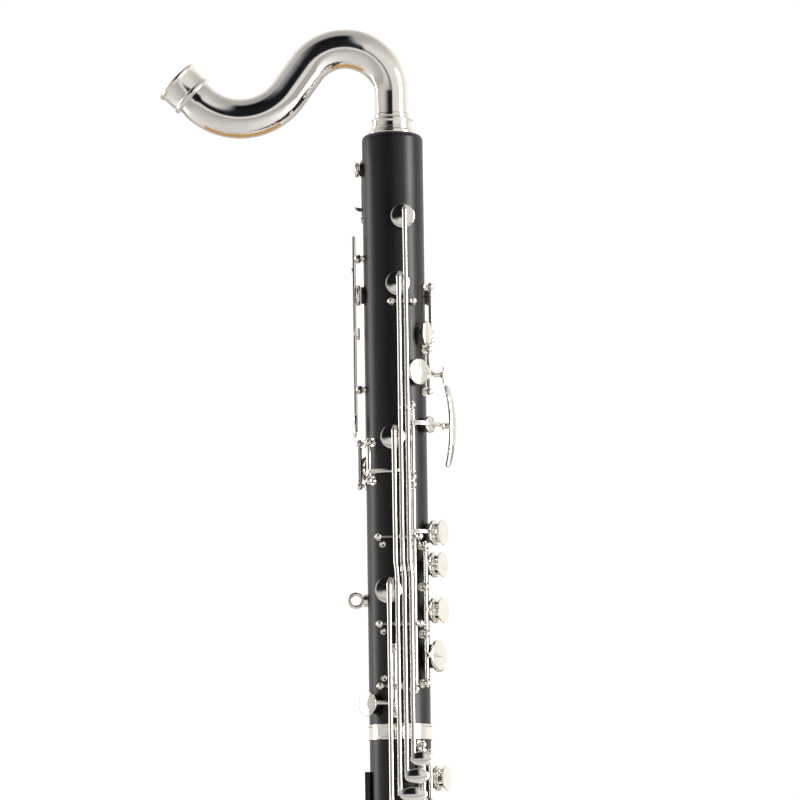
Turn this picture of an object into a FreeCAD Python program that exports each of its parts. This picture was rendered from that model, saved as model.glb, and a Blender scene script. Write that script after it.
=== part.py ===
import FreeCAD, Part

import math
import os

import Sketcher
from FreeCAD import Matrix, Placement, Rotation, Vector

# A low E-flat bass clarinet without its mouthpiece, in millimetres and degrees.
# +Z runs up the bore and +X faces the audience, so the neck goes to -X and the player's right
# hand side is -Y. The origin is the mouth of the floor peg's socket, on the bore's axis.
# An angle around the body is counted from +X towards +Y, so -90 is the player's right.
# A height is measured along Z, and a level is a distance from the bore's axis.

DIMENSIONS = {
    # wooden joints
    "body_radius": 21.5,
    "bore_radius": 11.75,
    "lower_bottom": 125,
    "joint_height": 508.7,
    "body_top": 926,
    "tenon_radius": 15.4,
    "tenon_bottom": 484.7,
    "tenon_cork_bottom": 487.2,
    "tenon_cork_top": 506.2,
    "tenon_cork_radius": 16.3,
    "socket_radius": 16.35,
    "socket_bottom": 483.7,
    "ring_seat_radius": 19.8,
    "ring_radius": 22.0,
    "ring_bead_radius": 22.6,
    "ring_bottom": 497.7,
    "ring_low_edge": 499.2,
    "ring_high_edge": 507.2,
    "cap_seat_radius": 14.3,
    "cap_seat_bottom": 896,
    # bell
    "foot_seat_radius": 18.5,
    "foot_seat_top": 150,
    "ferrule_radius": 22.6,
    "ferrule_bottom": 108,
    "ferrule_inner": 14.8,
    "bow_bend_radius": 52,
    "bow_bend_height": 85,
    "bow_top": 108,
    "bow_start_radius": 16.0,
    "bow_end_radius": 24.0,
    "bow_turn": 165,
    "bell_wall": 1.2,
    "bell_length": 208,
    "bell_rim_radius": 75,
    "rim_wire_radius": 2.4,
    "bell_flare_rate": 3.4,
    # floor peg
    "peg_bore_radius": 5.1,
    "peg_socket_radius": 8.5,
    "peg_socket_length": 30,
    "peg_foot_top": 52,
    "peg_screw_height": 14,
    "peg_screw_radius": 2.5,
    "peg_screw_hole_radius": 2.55,
    "peg_screw_inner": 5.6,
    "peg_screw_outer": 17,
    "peg_boss_radius": 5.0,
    "peg_boss_outer": 12.5,
    "peg_wing_radius": 6.5,
    "peg_wing_thickness": 2.6,
    # neck
    "neck_sleeve_bore": 12.3,
    "cap_ring_radius": 17.0,
    "shoulder_round": 4.4,
    "joint_overlap": 1.0,
    "web_root": 1.2,
    "dome_share": 0.45,
    "cross_hinge_stand": 0.3,
    "side_cup_web": 4,
    "side_link_gap": 0.6,
    "side_touch_root": 1.4,
    "throat_gs_touch_level": 32.8,
    "vent_touch_level": 26.8,
    "back_cup_web": 3,
    "back_tongue_drop": 2.4,
    "back_tongue_thickness": 1.8,
    "back_tongue_length": 8,
    "back_tongue_root": 2,
    "register_touch_inset": 4,
    "register_touch_root": 1.6,
    "rim_root": 3,
    "hole_start": 4,
    "bell_gentle_share": 0.28,
    "peg_wing_back": 2,
    "peg_clear_box": 20,
    "collar_bead_stand": 0.9,
    "neck_growth": 2.2,
    "cap_ring_top": 929,
    "neck_cork_radius": 12.25,
    "neck_cork_bottom": 898,
    "neck_cork_top": 925,
    "neck_tenon_radius": 11.0,
    "neck_bore_radius": 9.6,
    "collar_bottom": 929.3,
    "collar_top": 937,
    "collar_radius": 15.0,
    "collar_bead_radius": 12.8,
    "collar_bead_top": 941,
    "neck_straight_top": 955.3,
    "neck_bend_radius": 33,
    "neck_bend_turn": 144,
    "neck_slope_length": 22.7,
    "neck_low_bend_radius": 41.6,
    "neck_low_bend_turn": 98,
    "neck_lead": 5.6,
    "neck_thick_radius": 14.1,
    "neck_mouth_radius": 13.6,
    "neck_wall": 1.4,
    "receiver_zero": 0,
    "receiver_floor": 2,
    "receiver_bead_top": 4,
    "receiver_lip_foot": 15,
    "receiver_top": 18,
    "receiver_throat": 10,
    "receiver_bore": 11.4,
    "receiver_radius": 15.4,
    "receiver_lip": 16.8,
    "receiver_bead": 16.4,
    # tone holes, pads and cups, all as levels for a closed key
    "rim_level": 23.4,
    "rim_wall": 1.3,
    "hole_share": 0.62,
    "pad_level": 23.7,
    "pad_thickness": 2.0,
    "cup_level": 25.7,
    "cup_thickness": 1.0,
    "dome_thickness": 0.8,
    "pad_inset": 0.7,
    # posts, rods and hinge tubes
    "rod_radius": 0.8,
    "tube_bore_radius": 0.87,
    "tube_radius": 1.7,
    "hinge_level": 26.0,
    "post_radius": 1.25,
    "post_head_radius": 2.5,
    "post_foot_radius": 3.2,
    "side_post_foot_radius": 2.0,
    "post_foot_thickness": 0.9,
    "post_gap": 0.4,
    "arm_width": 3.4,
    "arm_thickness": 1.6,
    "arm_level": 26.4,
    "big_arm_level": 27.5,
    "high_arm_level": 29.6,
    "plate_radius": 9.0,
    "plate_neck_radius": 7.2,
    "plate_level": 31.0,
    "plate_thickness": 1.4,
    "plate_open": 7.0,
    # side keys, on the player's right
    "side_angle": -90,
    "side_rod_level": 27.6,
    "side_bar_level": 33.0,
    "side_bar_thickness": 2.0,
    "side_bar_width": 3.4,
    "side_tongue_level": 30.4,
    "side_tongue_thickness": 1.8,
    "side_tongue_root": 2.0,
    "oval_radius": 7.6,
    "side_touch_half_width": 5.4,
    "side_touch_rise": 2.6,
    "side_touch_1_shift": 5.6,
    "side_touch_2_shift": 7.0,
    "side_touch_3_shift": 9.2,
    "side_touch_4_shift": 9.6,
    "side_touch_1_radius": 8.0,
    "side_touch_2_radius": 8.8,
    "side_touch_3_radius": 9.8,
    "side_touch_4_radius": 9.8,
    "side_1_offset": 8.0,
    "side_2_offset": 3.2,
    "side_3_offset": -1.6,
    "side_4_offset": -6.4,
    "side_touch_1": 483,
    "side_touch_2": 471,
    "side_touch_3": 458.3,
    "side_touch_4": 445.5,
    "side_cup_1": 864.5,
    "side_cup_2": 817,
    "side_cup_3": 708.7,
    "side_cup_4": 601.3,
    "side_cup_1_offset": 6.6,
    "side_cup_2_offset": 2.4,
    "side_cup_3_offset": -2.6,
    "side_cup_4_offset": -7.0,
    "side_cup_radius": 8.5,
    "side_cup_4_radius": 9.2,
    "side_rod_pad": 804,
    "side_rod_mid": 638.4,
    "side_rod_touch": 577.5,
    "side_rod_4": 534.2,
    "side_link_low": 616,
    "side_link_high": 725,
    "side_link_overlap": 2.6,
    "side_left_post": -13.2,
    "side_right_post": 15.1,
    "side_pad_left_post": -2.2,
    "side_pad_right_post": 13.0,
    "side_4_right_post": 2.2,
    # keys along the front of the upper joint
    "lh_a_angle": -64,
    "lh_b_angle": -43,
    "lh_plate_angle": -18,
    "lh_plate_1": 642.5,
    "lh_plate_2": 620,
    "lh_plate_3": 588,
    "lh_a_bottom": 532,
    "lh_a_middle": 675,
    "lh_a_top": 731,
    "lh_b_bottom": 536.5,
    "lh_b_low": 571,
    "lh_b_high": 604,
    "lh_b_top": 633,
    "cs_cup": 556,
    "cs_cup_angle": -19.5,
    "cs_cup_lift": 2.8,
    "cs_cup_radius": 11.3,
    "first_finger_bottom": 680.6,
    "first_finger_arm": 718.3,
    "first_finger_cup_angle": -28,
    "first_finger_plate_angle": -2,
    "first_finger_bow_radius": 80,
    "first_finger_bow_half_turn": 22,
    "first_finger_bow_level": 38,
    "first_finger_bow_twist": -32,
    "first_finger_width": 7,
    "throat_gs_angle": -24,
    "throat_gs_bottom": 742,
    "throat_gs_top": 772,
    "throat_gs_cup": 755,
    "throat_gs_cup_angle": -50,
    "throat_gs_cup_radius": 9.2,
    "throat_gs_touch_angle": 2,
    "throat_gs_touch_radius": 6.5,
    "vent_angle": -10,
    "vent_bottom": 779,
    "vent_top": 817,
    "vent_cup": 811,
    "vent_cup_angle": 18,
    "vent_cup_radius": 6,
    "vent_touch": 785,
    "vent_touch_angle": -34,
    "vent_touch_radius": 6.0,
    # keys at the back of the upper joint
    "back_angle": 180,
    "back_rod_level": 25.3,
    "back_bar_level": 26.9,
    "back_bar_thickness": 2.6,
    "back_bar_width": 5.0,
    "back_post_offset": 5.4,
    "register_rod": 745,
    "register_bottom": 716,
    "register_top": 789,
    "register_touch_radius": 9,
    "register_touch_half_width": 6.0,
    "low_vent_rod": 838,
    "low_vent_cup": 812,
    "low_vent_radius": 7.6,
    "low_vent_bottom": 784,
    "low_vent_top": 853,
    "high_vent_angle": 146,
    "high_vent_top": 908,
    "high_vent_arm": 875,
    "high_vent_arm_angle": 168,
    "high_vent_cup": 901.5,
    "high_vent_radius": 5.6,
    "high_vent_bottom": 868,
    "link_angle": 222,
    "link_bottom": 679,
    "link_top": 706,
    "link_arm": 685,
    "link_tip_angle": 272,
    "thumb_angle": 178,
    "thumb_bottom": 677,
    "thumb_top": 707,
    "thumb_plate": 692,
    "thumb_plate_angle": 122,
    # key beside the joint ring
    "ring_key_angle": -98,
    "ring_key_level": 24.4,
    "ring_key_bottom": 515.5,
    "ring_key_top": 561,
    "ring_key_cup": 523,
    "ring_key_cup_angle": -147,
    "ring_key_cup_radius": 9,
    # little finger levers for the left hand
    "left_pinky_first": 545,
    "left_pinky_pitch": 13,
    "left_pinky_bottom": 518,
    "left_pinky_first_angle": 92,
    "left_pinky_angle_pitch": 17,
    "left_pinky_top": 583,
    "left_pinky_touch_angle": 66,
    # keys of the lower joint
    "rh_a_angle": -53,
    "rh_a_bottom": 352,
    "rh_a_top": 493.5,
    "rh_b_angle": -38,
    "rh_plate_angle": -13,
    "rh_plate_1": 471,
    "rh_plate_pitch": 34,
    "rh_post_offset": 17,
    "low_g_cup": 366,
    "low_g_radius": 12,
    "low_g_angle": -5,
    "low_key_first_angle": -96,
    "low_key_angle_pitch": -16,
    "low_key_top": 350,
    "low_touch_first": 298,
    "low_touch_pitch": 12.5,
    "low_touch_angle": -68,
    "low_touch_half_length": 5.2,
    "low_cup_radius": 12.5,
    "low_f_cup": 283,
    "low_e_cup": 238,
    "low_ef_cup": 190,
    "low_fs_cup": 318,
    "low_cup_gap_angle": 58,
    "low_tube_overhang": 15,
    # strap ring and thumb rest
    "strap_height": 596.4,
    "strap_level": 29.8,
    "strap_ring_radius": 4.6,
    "strap_wire_radius": 1.3,
    "strap_base_radius": 4.5,
    "strap_base_thickness": 2.8,
    "rest_bottom": 438,
    "rest_length": 38,
    "rest_width": 15,
    "rest_thickness": 3.6,
    "rest_hook_height": 451,
    "rest_hook_length": 26,
    "rest_hook_thickness": 4.5,
}

document = FreeCAD.newDocument("BassClarinet")
sheet = document.addObject("Spreadsheet::Sheet", "dims")
for row, (alias, number) in enumerate(DIMENSIONS.items(), start=1):
    sheet.set(f"A{row}", alias)
    sheet.set(f"B{row}", str(number))
    sheet.setAlias(f"B{row}", alias)
document.recompute()

NODES = {}
tone_holes = {"upper_joint": [], "lower_joint": []}
posts = {"upper": [], "lower": []}
rods = {"upper": [], "lower": []}


def size(alias):
    """The number in the sheet's cell of this alias."""
    return float(sheet.get(alias))


def node(name, item):
    """Keeps an object as one of the clarinet's sub-parts."""
    item.Label = name
    NODES[name] = item
    return item


def bound(kind, place, **formulas):
    """A primitive whose sizes follow the sheet."""
    item = document.addObject(kind, kind.split("::")[1].lower())
    for name, formula in formulas.items():
        item.setExpression(name, formula)
    item.Placement = place
    return item


def joined(items):
    """One object from several that touch."""
    if len(items) == 1:
        return items[0]
    whole = document.addObject("Part::MultiFuse", "joined")
    whole.Shapes = items
    return whole


def grouped(items):
    """One object that keeps its solids separate."""
    whole = document.addObject("Part::Compound", "grouped")
    whole.Links = items
    return whole


def cut(base, tool):
    """The base without the tool."""
    rest = document.addObject("Part::Cut", "cut")
    rest.Base = base
    rest.Tool = tool
    return rest


def on_axis(height):
    """A place on the bore's axis."""
    return Placement(Vector(0, 0, height), Rotation())


def around(angle, height, offset=0.0, level=0.0):
    """A frame at an angle: local Z points outward, Y up the bore and X along the surface."""
    turn = math.radians(angle)
    out = Vector(math.cos(turn), math.sin(turn), 0)
    along = Vector(-math.sin(turn), math.cos(turn), 0)
    start = out * level + along * offset
    return Placement(Matrix(
        along.x, 0, out.x, start.x,
        along.y, 0, out.y, start.y,
        along.z, 1, out.z, height,
        0, 0, 0, 1))


def inside(frame, x, y, z):
    """The frame moved by a step along its own directions."""
    return frame.multiply(Placement(Vector(x, y, z), Rotation()))


def turned_about_bore(angle, level, turn):
    """A turn about a hinge that runs up the body at this angle and level."""
    way = math.radians(angle)
    centre = Vector(level * math.cos(way), level * math.sin(way), 0)
    return Placement(Vector(), Rotation(Vector(0, 0, 1), turn), centre)


def turned_body(name, outline, place=None):
    """A ring turned about its axis from an outline of (radius, height) cells."""
    body = document.addObject("PartDesign::Body", name)
    sketch = body.newObject("Sketcher::SketchObject", name + "_outline")
    plane = [item for item in body.Origin.OriginFeatures if item.Role == "XZ_Plane"]
    sketch.AttachmentSupport = [(plane[0], "")]
    sketch.MapMode = "FlatFace"
    corners = [Vector(size(across), size(up), 0) for across, up in outline]
    count = len(corners)
    for number, corner in enumerate(corners):
        sketch.addGeometry(Part.LineSegment(corner, corners[(number + 1) % count]), False)
    for number in range(count):
        sketch.addConstraint(Sketcher.Constraint("Coincident", number, 2, (number + 1) % count, 1))
    for number, (across, up) in enumerate(outline):
        for way, alias in (("DistanceX", across), ("DistanceY", up)):
            held = sketch.addConstraint(Sketcher.Constraint(way, -1, 1, number, 1, size(alias)))
            sketch.setExpression(f"Constraints[{held}]", f"dims.{alias}")
    turned = body.newObject("PartDesign::Revolution", name + "_turned")
    turned.Profile = sketch
    turned.ReferenceAxis = (sketch, ["V_Axis"])
    turned.Angle = 360
    if place:
        body.Placement = place
    return node(name, body)


# --- pieces of keys ---------------------------------------------------------------------------


class Key:
    """A key's metal pieces and pads, all turned about its hinge to the key's rest."""

    def __init__(self, name, joint, rest=Placement()):
        self.name = name
        self.joint = joint
        self.rest = rest
        self.metal = []
        self.pads = []
        self.bores = []

    def add(self, kind, place, **formulas):
        piece = bound(kind, self.rest.multiply(place), **formulas)
        self.metal.append(piece)
        return piece

    def finish(self, pad_node=None):
        whole = cut(joined(self.metal), joined(self.bores + self.pads))
        if pad_node:
            node(pad_node, grouped(self.pads) if len(self.pads) > 1 else self.pads[0])
        elif self.pads:
            whole = grouped([whole] + self.pads)
        return node(self.name, whole)


def disc(key, frame, radius, level, thickness):
    key.add("Part::Cylinder", inside(frame, 0, 0, level), Radius=radius, Height=thickness)


def block(key, frame, width, wide, low, high, level, thickness):
    """A bar along the bore from low to high."""
    place = inside(frame, -wide / 2, low, level)
    key.add("Part::Box", place, Width=f"{high - low:.3f}", Length=width, Height=thickness)


def cup(key, angle, height, radius, offset=0.0, lift=0.0):
    """A padded cup over a tone hole of its own; lift raises both on a taller rim."""
    frame = around(angle, height, offset, lift)
    disc(key, frame, radius, size("cup_level"), "dims.cup_thickness")
    dome = inside(frame, 0, 0, size("cup_level") + size("cup_thickness"))
    key.add("Part::Cone", dome, Radius1=radius, Radius2=f"{radius} * dims.dome_share",
            Height="dims.dome_thickness")
    key.pads.append(bound(
        "Part::Cylinder", key.rest.multiply(inside(frame, 0, 0, size("pad_level"))),
        Radius=f"{radius} - dims.pad_inset", Height="dims.pad_thickness"))
    tone_holes[key.joint].append((frame, radius))
    return frame


def finger_plate(key, angle, height):
    """A cup with a raised plate for a fingertip."""
    frame = cup(key, angle, height, "dims.plate_radius")
    disc(key, frame, "dims.plate_neck_radius", size("cup_level") + size("web_root"),
         "dims.plate_level - dims.cup_level")
    disc(key, frame, "dims.plate_radius", size("plate_level"), "dims.plate_thickness")


def arm(key, angle, to_angle, height, level="arm_level", width="arm_width"):
    """A bar bent around the body between two angles."""
    first = min(angle, to_angle)
    sweep = f"{abs(to_angle - angle):.3f}"
    place = Placement(Vector(0, 0, height - size(width) / 2), Rotation(Vector(0, 0, 1), first))
    place = key.rest.multiply(place)
    outer = bound("Part::Cylinder", place, Radius=f"dims.{level} + dims.arm_thickness",
                  Height=f"dims.{width}", Angle=sweep)
    inner = bound("Part::Cylinder", place, Radius=f"dims.{level}", Height=f"dims.{width}",
                  Angle=sweep)
    key.metal.append(cut(outer, inner))


def riser(key, angle, height):
    """The block from a hinge tube up to a high arm."""
    wide = size("arm_width")
    block(key, around(angle, 0), "dims.arm_width", wide, height - wide / 2, height + wide / 2,
          size("hinge_level"), "dims.high_arm_level - dims.hinge_level + dims.arm_thickness / 2")


def hinge(key, angle, low, high, level="hinge_level"):
    """A hinge tube up the body that turns on a rod between two posts."""
    gap = size("post_head_radius") + size("post_gap")
    place = around(angle, 0, level=size(level))
    base = Placement(place.Base + Vector(0, 0, low + gap), Rotation())
    length = f"{high - low - 2 * gap:.3f}"
    key.add("Part::Cylinder", base, Radius="dims.tube_radius", Height=length)
    key.bores.append(bound("Part::Cylinder", key.rest.multiply(base),
                           Radius="dims.tube_bore_radius", Height=length))


def cross_hinge(key, frame, level, half_width):
    """A short hinge tube across the body under a lever's bar."""
    across = Rotation(Vector(0, 1, 0), 90)
    place = frame.multiply(Placement(Vector(-half_width, 0, level), across))
    length = f"{2 * half_width:.3f}"
    key.add("Part::Cylinder", place, Radius="dims.tube_radius", Height=length)
    key.bores.append(bound("Part::Cylinder", key.rest.multiply(place),
                           Radius="dims.tube_bore_radius", Height=length))


def oval_touch(key, frame, level, half_long, half_wide, rise="side_touch_rise"):
    """A domed oval for a fingertip, cut flat underneath."""
    bead = bound("Part::Ellipsoid", key.rest.multiply(inside(frame, 0, 0, level)),
                 Radius1=f"dims.{rise}", Radius2=f"dims.{half_long}", Radius3=f"dims.{half_wide}",
                 Angle1="0")
    key.metal.append(bead)


# --- posts and rods ---------------------------------------------------------------------------


def post(where, angle, height, offset=0.0, level=None):
    """A ball headed post with a round foot on the wood; a post off the centre has a small foot."""
    top = size("hinge_level") if level is None else level
    foot_radius = "side_post_foot_radius" if offset else "post_foot_radius"
    inner = max(abs(offset) - size(foot_radius), 0)
    foot = math.sqrt(size("body_radius") ** 2 - inner ** 2)
    frame = around(angle, height, offset)
    stem = bound("Part::Cylinder", inside(frame, 0, 0, foot), Radius="dims.post_radius",
                 Height=f"{top - foot:.3f}")
    base = bound("Part::Cylinder", inside(frame, 0, 0, foot), Radius=f"dims.{foot_radius}",
                 Height="dims.post_foot_thickness")
    head = bound("Part::Sphere", inside(frame, 0, 0, top), Radius="dims.post_head_radius")
    posts[where].append(joined([stem, base, head]))


def rod_up(where, angle, low, high, level="hinge_level"):
    """A steel rod up the body between two posts, which it also makes."""
    place = around(angle, 0, level=size(level))
    rods[where].append(bound(
        "Part::Cylinder", Placement(place.Base + Vector(0, 0, low), Rotation()),
        Radius="dims.rod_radius", Height=f"{high - low:.3f}"))
    for height in (low, high):
        post(where, angle, height, level=size(level))


def rod_across(where, angle, height, left, right, level):
    """A steel rod across the body between two posts, which it also makes."""
    frame = around(angle, height)
    place = frame.multiply(Placement(Vector(left, 0, level), Rotation(Vector(0, 1, 0), 90)))
    rods[where].append(bound("Part::Cylinder", place, Radius="dims.rod_radius",
                             Height=f"{right - left:.3f}"))
    for offset in (left, right):
        post(where, angle, height, offset, level)


# --- side keys --------------------------------------------------------------------------------


def side_frame(name, height=0.0):
    return around(size("side_angle"), height, size(f"side_{name}_offset"))


def side_bar(key, number, low, high):
    block(key, side_frame(number), "dims.side_bar_width", size("side_bar_width"), low, high,
          size("side_bar_level"), "dims.side_bar_thickness")


def side_tongue(key, number, root, tip):
    """The end of a lever that reaches from its root to its tip under its neighbour's."""
    frame = side_frame(number)
    wide = size("side_bar_width")
    low, high = min(root, tip), max(root, tip)
    block(key, frame, "dims.side_bar_width", wide, low, high, size("side_tongue_level"),
          "dims.side_tongue_thickness")
    step = math.copysign(size("side_tongue_root"), tip - root)
    low, high = min(root, root + step), max(root, root + step)
    block(key, frame, "dims.side_bar_width", wide, low, high, size("side_tongue_level"),
          "dims.side_bar_level - dims.side_tongue_level + dims.joint_overlap")


def side_hanger(key, number, height, length=4.0):
    """The web from a lever's bar down to its hinge tube."""
    block(key, side_frame(number), "dims.side_bar_width", size("side_bar_width"),
          height - length / 2, height + length / 2, size("side_rod_level"),
          "dims.side_bar_level - dims.side_rod_level + dims.joint_overlap")
    cross_hinge(key, side_frame(number, height), size("side_rod_level"),
                size("side_bar_width") / 2 + size("cross_hinge_stand"))


def side_cup(key, number):
    radius = "dims.side_cup_4_radius" if number == 4 else "dims.side_cup_radius"
    height = size(f"side_cup_{number}")
    cup(key, size("side_angle"), height, radius, size(f"side_cup_{number}_offset"))
    web = size("side_cup_web")
    block(key, side_frame(number), "dims.side_bar_width", size("side_bar_width"), height - web,
          height + web, size("cup_level") + size("web_root"),
          "dims.side_bar_level - dims.cup_level")


def side_touch(key, number):
    height = size(f"side_touch_{number}")
    frame = inside(side_frame(number, height), size(f"side_touch_{number}_shift"), 0, 0)
    oval_touch(key, frame, size("side_bar_level") + size("side_touch_root"),
               f"side_touch_{number}_radius", "side_touch_half_width")


def side_three_stage(number):
    """A trill key: touch lever, see-saw in the middle, and the lever with the pad."""
    reach = size("side_link_overlap")
    low_link = size("side_link_low")
    high_link = size("side_link_high")
    root = size("side_tongue_root")
    touch = Key(f"side_{number}_touch_lever", "upper_joint")
    side_bar(touch, number, size(f"side_touch_{number}"), low_link - reach)
    side_hanger(touch, number, size("side_rod_touch"))
    side_tongue(touch, number, low_link - reach - root, low_link + reach)
    side_touch(touch, number)
    touch.finish()
    middle = Key(f"side_{number}_middle_lever", "upper_joint")
    gap = size("side_link_gap")
    side_bar(middle, number, low_link - reach + gap, high_link + reach - gap)
    side_hanger(middle, number, size("side_rod_mid"))
    middle.finish()
    pad = Key(f"side_{number}_pad_key", "upper_joint")
    side_bar(pad, number, high_link + reach, size(f"side_cup_{number}") + size("side_cup_web"))
    side_hanger(pad, number, size("side_rod_pad"))
    side_tongue(pad, number, high_link + reach + root, high_link - reach)
    side_cup(pad, number)
    pad.finish(f"side_{number}_pad")


def side_one_piece(number, rod):
    """A side key with its touch and its pad on one lever."""
    key = Key(f"side_{number}_key", "upper_joint")
    side_bar(key, number, size(f"side_touch_{number}"), size(f"side_cup_{number}") + size("side_cup_web"))
    side_hanger(key, number, size(rod))
    side_cup(key, number)
    side_touch(key, number)
    key.finish(f"side_{number}_pad")


def side_keys():
    angle = size("side_angle")
    level = size("side_rod_level")
    left = size("side_left_post")
    right = size("side_right_post")
    rod_across("upper", angle, size("side_rod_pad"), size("side_pad_left_post"),
               size("side_pad_right_post"), level)
    rod_across("upper", angle, size("side_rod_mid"), left, right, level)
    rod_across("upper", angle, size("side_rod_touch"), left, right, level)
    rod_across("upper", angle, size("side_rod_4"), left, size("side_4_right_post"), level)
    side_three_stage(1)
    side_three_stage(2)
    side_one_piece(3, "side_rod_touch")
    side_one_piece(4, "side_rod_4")


# --- keys on long hinges ----------------------------------------------------------------------


def open_rest(angle, level="hinge_level", way=-1):
    """How far an open key stands off its hole at rest."""
    return turned_about_bore(angle, size(level), way * size("plate_open"))


def front_keys():
    angle_a = size("lh_a_angle")
    angle_b = size("lh_b_angle")
    plate_angle = size("lh_plate_angle")
    first = Key("lh_plate_1", "upper_joint", open_rest(angle_a))
    hinge(first, angle_a, size("lh_a_bottom"), size("lh_a_middle"))
    arm(first, angle_a, plate_angle, size("lh_plate_1"))
    finger_plate(first, plate_angle, size("lh_plate_1"))
    first.finish()
    rod_up("upper", angle_a, size("lh_a_bottom"), size("lh_a_middle"))
    spans = {"lh_plate_2": ("lh_b_high", "lh_b_top"), "lh_plate_3": ("lh_b_low", "lh_b_high")}
    for name, (low, high) in spans.items():
        key = Key(name, "upper_joint", open_rest(angle_b))
        hinge(key, angle_b, size(low), size(high))
        arm(key, angle_b, plate_angle, size(name))
        finger_plate(key, plate_angle, size(name))
        key.finish()
    cs = Key("cs_key", "upper_joint", open_rest(angle_b))
    hinge(cs, angle_b, size("lh_b_bottom"), size("lh_b_low"))
    arm(cs, angle_b, size("cs_cup_angle"), size("cs_cup"), "high_arm_level")
    riser(cs, angle_b, size("cs_cup"))
    cup(cs, size("cs_cup_angle"), size("cs_cup"), "dims.cs_cup_radius", lift=size("cs_cup_lift"))
    cs.finish("cs_pad")
    rod_up("upper", angle_b, size("lh_b_bottom"), size("lh_b_top"))
    for height in ("lh_b_low", "lh_b_high"):
        post("upper", angle_b, size(height))


def first_finger_key():
    """The tall bowed lever for the side of the left first finger."""
    angle = size("lh_a_angle")
    plate_angle = size("first_finger_plate_angle")
    height = size("first_finger_arm")
    key = Key("first_finger_key", "upper_joint", open_rest(angle))
    hinge(key, angle, size("first_finger_bottom"), size("lh_a_top"))
    arm(key, angle, plate_angle, height, "high_arm_level")
    riser(key, angle, height)
    cup_frame = cup(key, size("first_finger_cup_angle"), height, "dims.vent_cup_radius")
    disc(key, cup_frame, "dims.tube_radius", size("cup_level") + size("cup_thickness"),
         "dims.high_arm_level - dims.cup_level")
    frame = around(plate_angle, height)
    disc(key, frame, "dims.first_finger_width / 2", size("high_arm_level"),
         "dims.first_finger_bow_level - dims.high_arm_level - dims.arm_thickness / 2")
    half = size("first_finger_bow_half_turn")
    radius = size("first_finger_bow_radius")
    twist = Rotation(Vector(0, 1, 0), size("first_finger_bow_twist"))
    plate = frame.multiply(Placement(Vector(0, 0, size("first_finger_bow_level")), twist))
    centre = inside(plate, 0, 0, -radius)
    turn = Rotation(Vector(0, 0, 1), Vector(1, 0, 0))
    sector = centre.multiply(Placement(Vector(-size("first_finger_width") / 2, 0, 0), turn))
    sector = sector.multiply(Placement(Vector(), Rotation(Vector(0, 0, 1), 180 - half)))
    outer = bound("Part::Cylinder", sector, Radius="dims.first_finger_bow_radius",
                  Height="dims.first_finger_width", Angle="dims.first_finger_bow_half_turn * 2")
    inner = bound("Part::Cylinder", sector, Height="dims.first_finger_width",
                  Radius="dims.first_finger_bow_radius - dims.arm_thickness",
                  Angle="dims.first_finger_bow_half_turn * 2")
    key.metal.append(cut(outer, inner))
    key.finish()
    rod_up("upper", angle, size("first_finger_bottom"), size("lh_a_top"))


def throat_gs_key():
    angle = size("throat_gs_angle")
    height = size("throat_gs_cup")
    key = Key("throat_gs_key", "upper_joint")
    hinge(key, angle, size("throat_gs_bottom"), size("throat_gs_top"))
    arm(key, size("throat_gs_cup_angle"), size("throat_gs_touch_angle"), height)
    cup(key, size("throat_gs_cup_angle"), height, "dims.throat_gs_cup_radius")
    touch = around(size("throat_gs_touch_angle"), height)
    disc(key, touch, "dims.tube_radius", size("arm_level"),
         "dims.throat_gs_touch_level + dims.plate_thickness / 2 - dims.arm_level")
    disc(key, touch, "dims.throat_gs_touch_radius", size("throat_gs_touch_level"),
         "dims.plate_thickness")
    key.finish("throat_gs_pad")
    rod_up("upper", angle, size("throat_gs_bottom"), size("throat_gs_top"))


def upper_vent_key():
    angle = size("vent_angle")
    key = Key("trill_vent_key", "upper_joint")
    hinge(key, angle, size("vent_bottom"), size("vent_top"))
    arm(key, angle, size("vent_cup_angle"), size("vent_cup"))
    cup(key, size("vent_cup_angle"), size("vent_cup"), "dims.vent_cup_radius")
    arm(key, size("vent_touch_angle"), angle, size("vent_touch"))
    frame = around(size("vent_touch_angle"), size("vent_touch"))
    disc(key, frame, "dims.vent_touch_radius", size("vent_touch_level"), "dims.plate_thickness")
    key.finish()
    rod_up("upper", angle, size("vent_bottom"), size("vent_top"))


def back_frame(height=0.0):
    return around(size("back_angle"), height)


def back_lever(name, rod, low, high):
    """A see-saw bar along the back of the upper joint."""
    key = Key(name, "upper_joint")
    wide = size("back_bar_width")
    block(key, back_frame(), "dims.back_bar_width", wide, low, high, size("back_bar_level"),
          "dims.back_bar_thickness")
    block(key, back_frame(), "dims.back_bar_width", wide, rod - 2, rod + 2,
          size("back_rod_level"), "dims.back_bar_level - dims.back_rod_level + 1")
    cross_hinge(key, back_frame(rod), size("back_rod_level"), wide / 2)
    reach = size("back_post_offset")
    rod_across("upper", size("back_angle"), rod, -reach, reach, size("back_rod_level"))
    return key


def back_cup(key, height, radius):
    cup(key, size("back_angle"), height, radius)
    web = size("back_cup_web")
    block(key, back_frame(), "dims.back_bar_width", size("back_bar_width"), height - web,
          height + web, size("cup_level") + size("web_root") - size("joint_overlap"),
          "dims.back_bar_level - dims.cup_level + dims.joint_overlap")


def back_tongue(key, low, high, root):
    """A thin end that reaches under the next lever, with its step at root."""
    level = size("back_bar_level") - size("back_tongue_drop")
    block(key, back_frame(), "dims.back_bar_width", size("back_bar_width"), low, high, level,
          "dims.back_tongue_thickness")
    block(key, back_frame(), "dims.back_bar_width", size("back_bar_width"), root,
          root + size("back_tongue_root"), level, "dims.back_tongue_drop + dims.joint_overlap")


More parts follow.
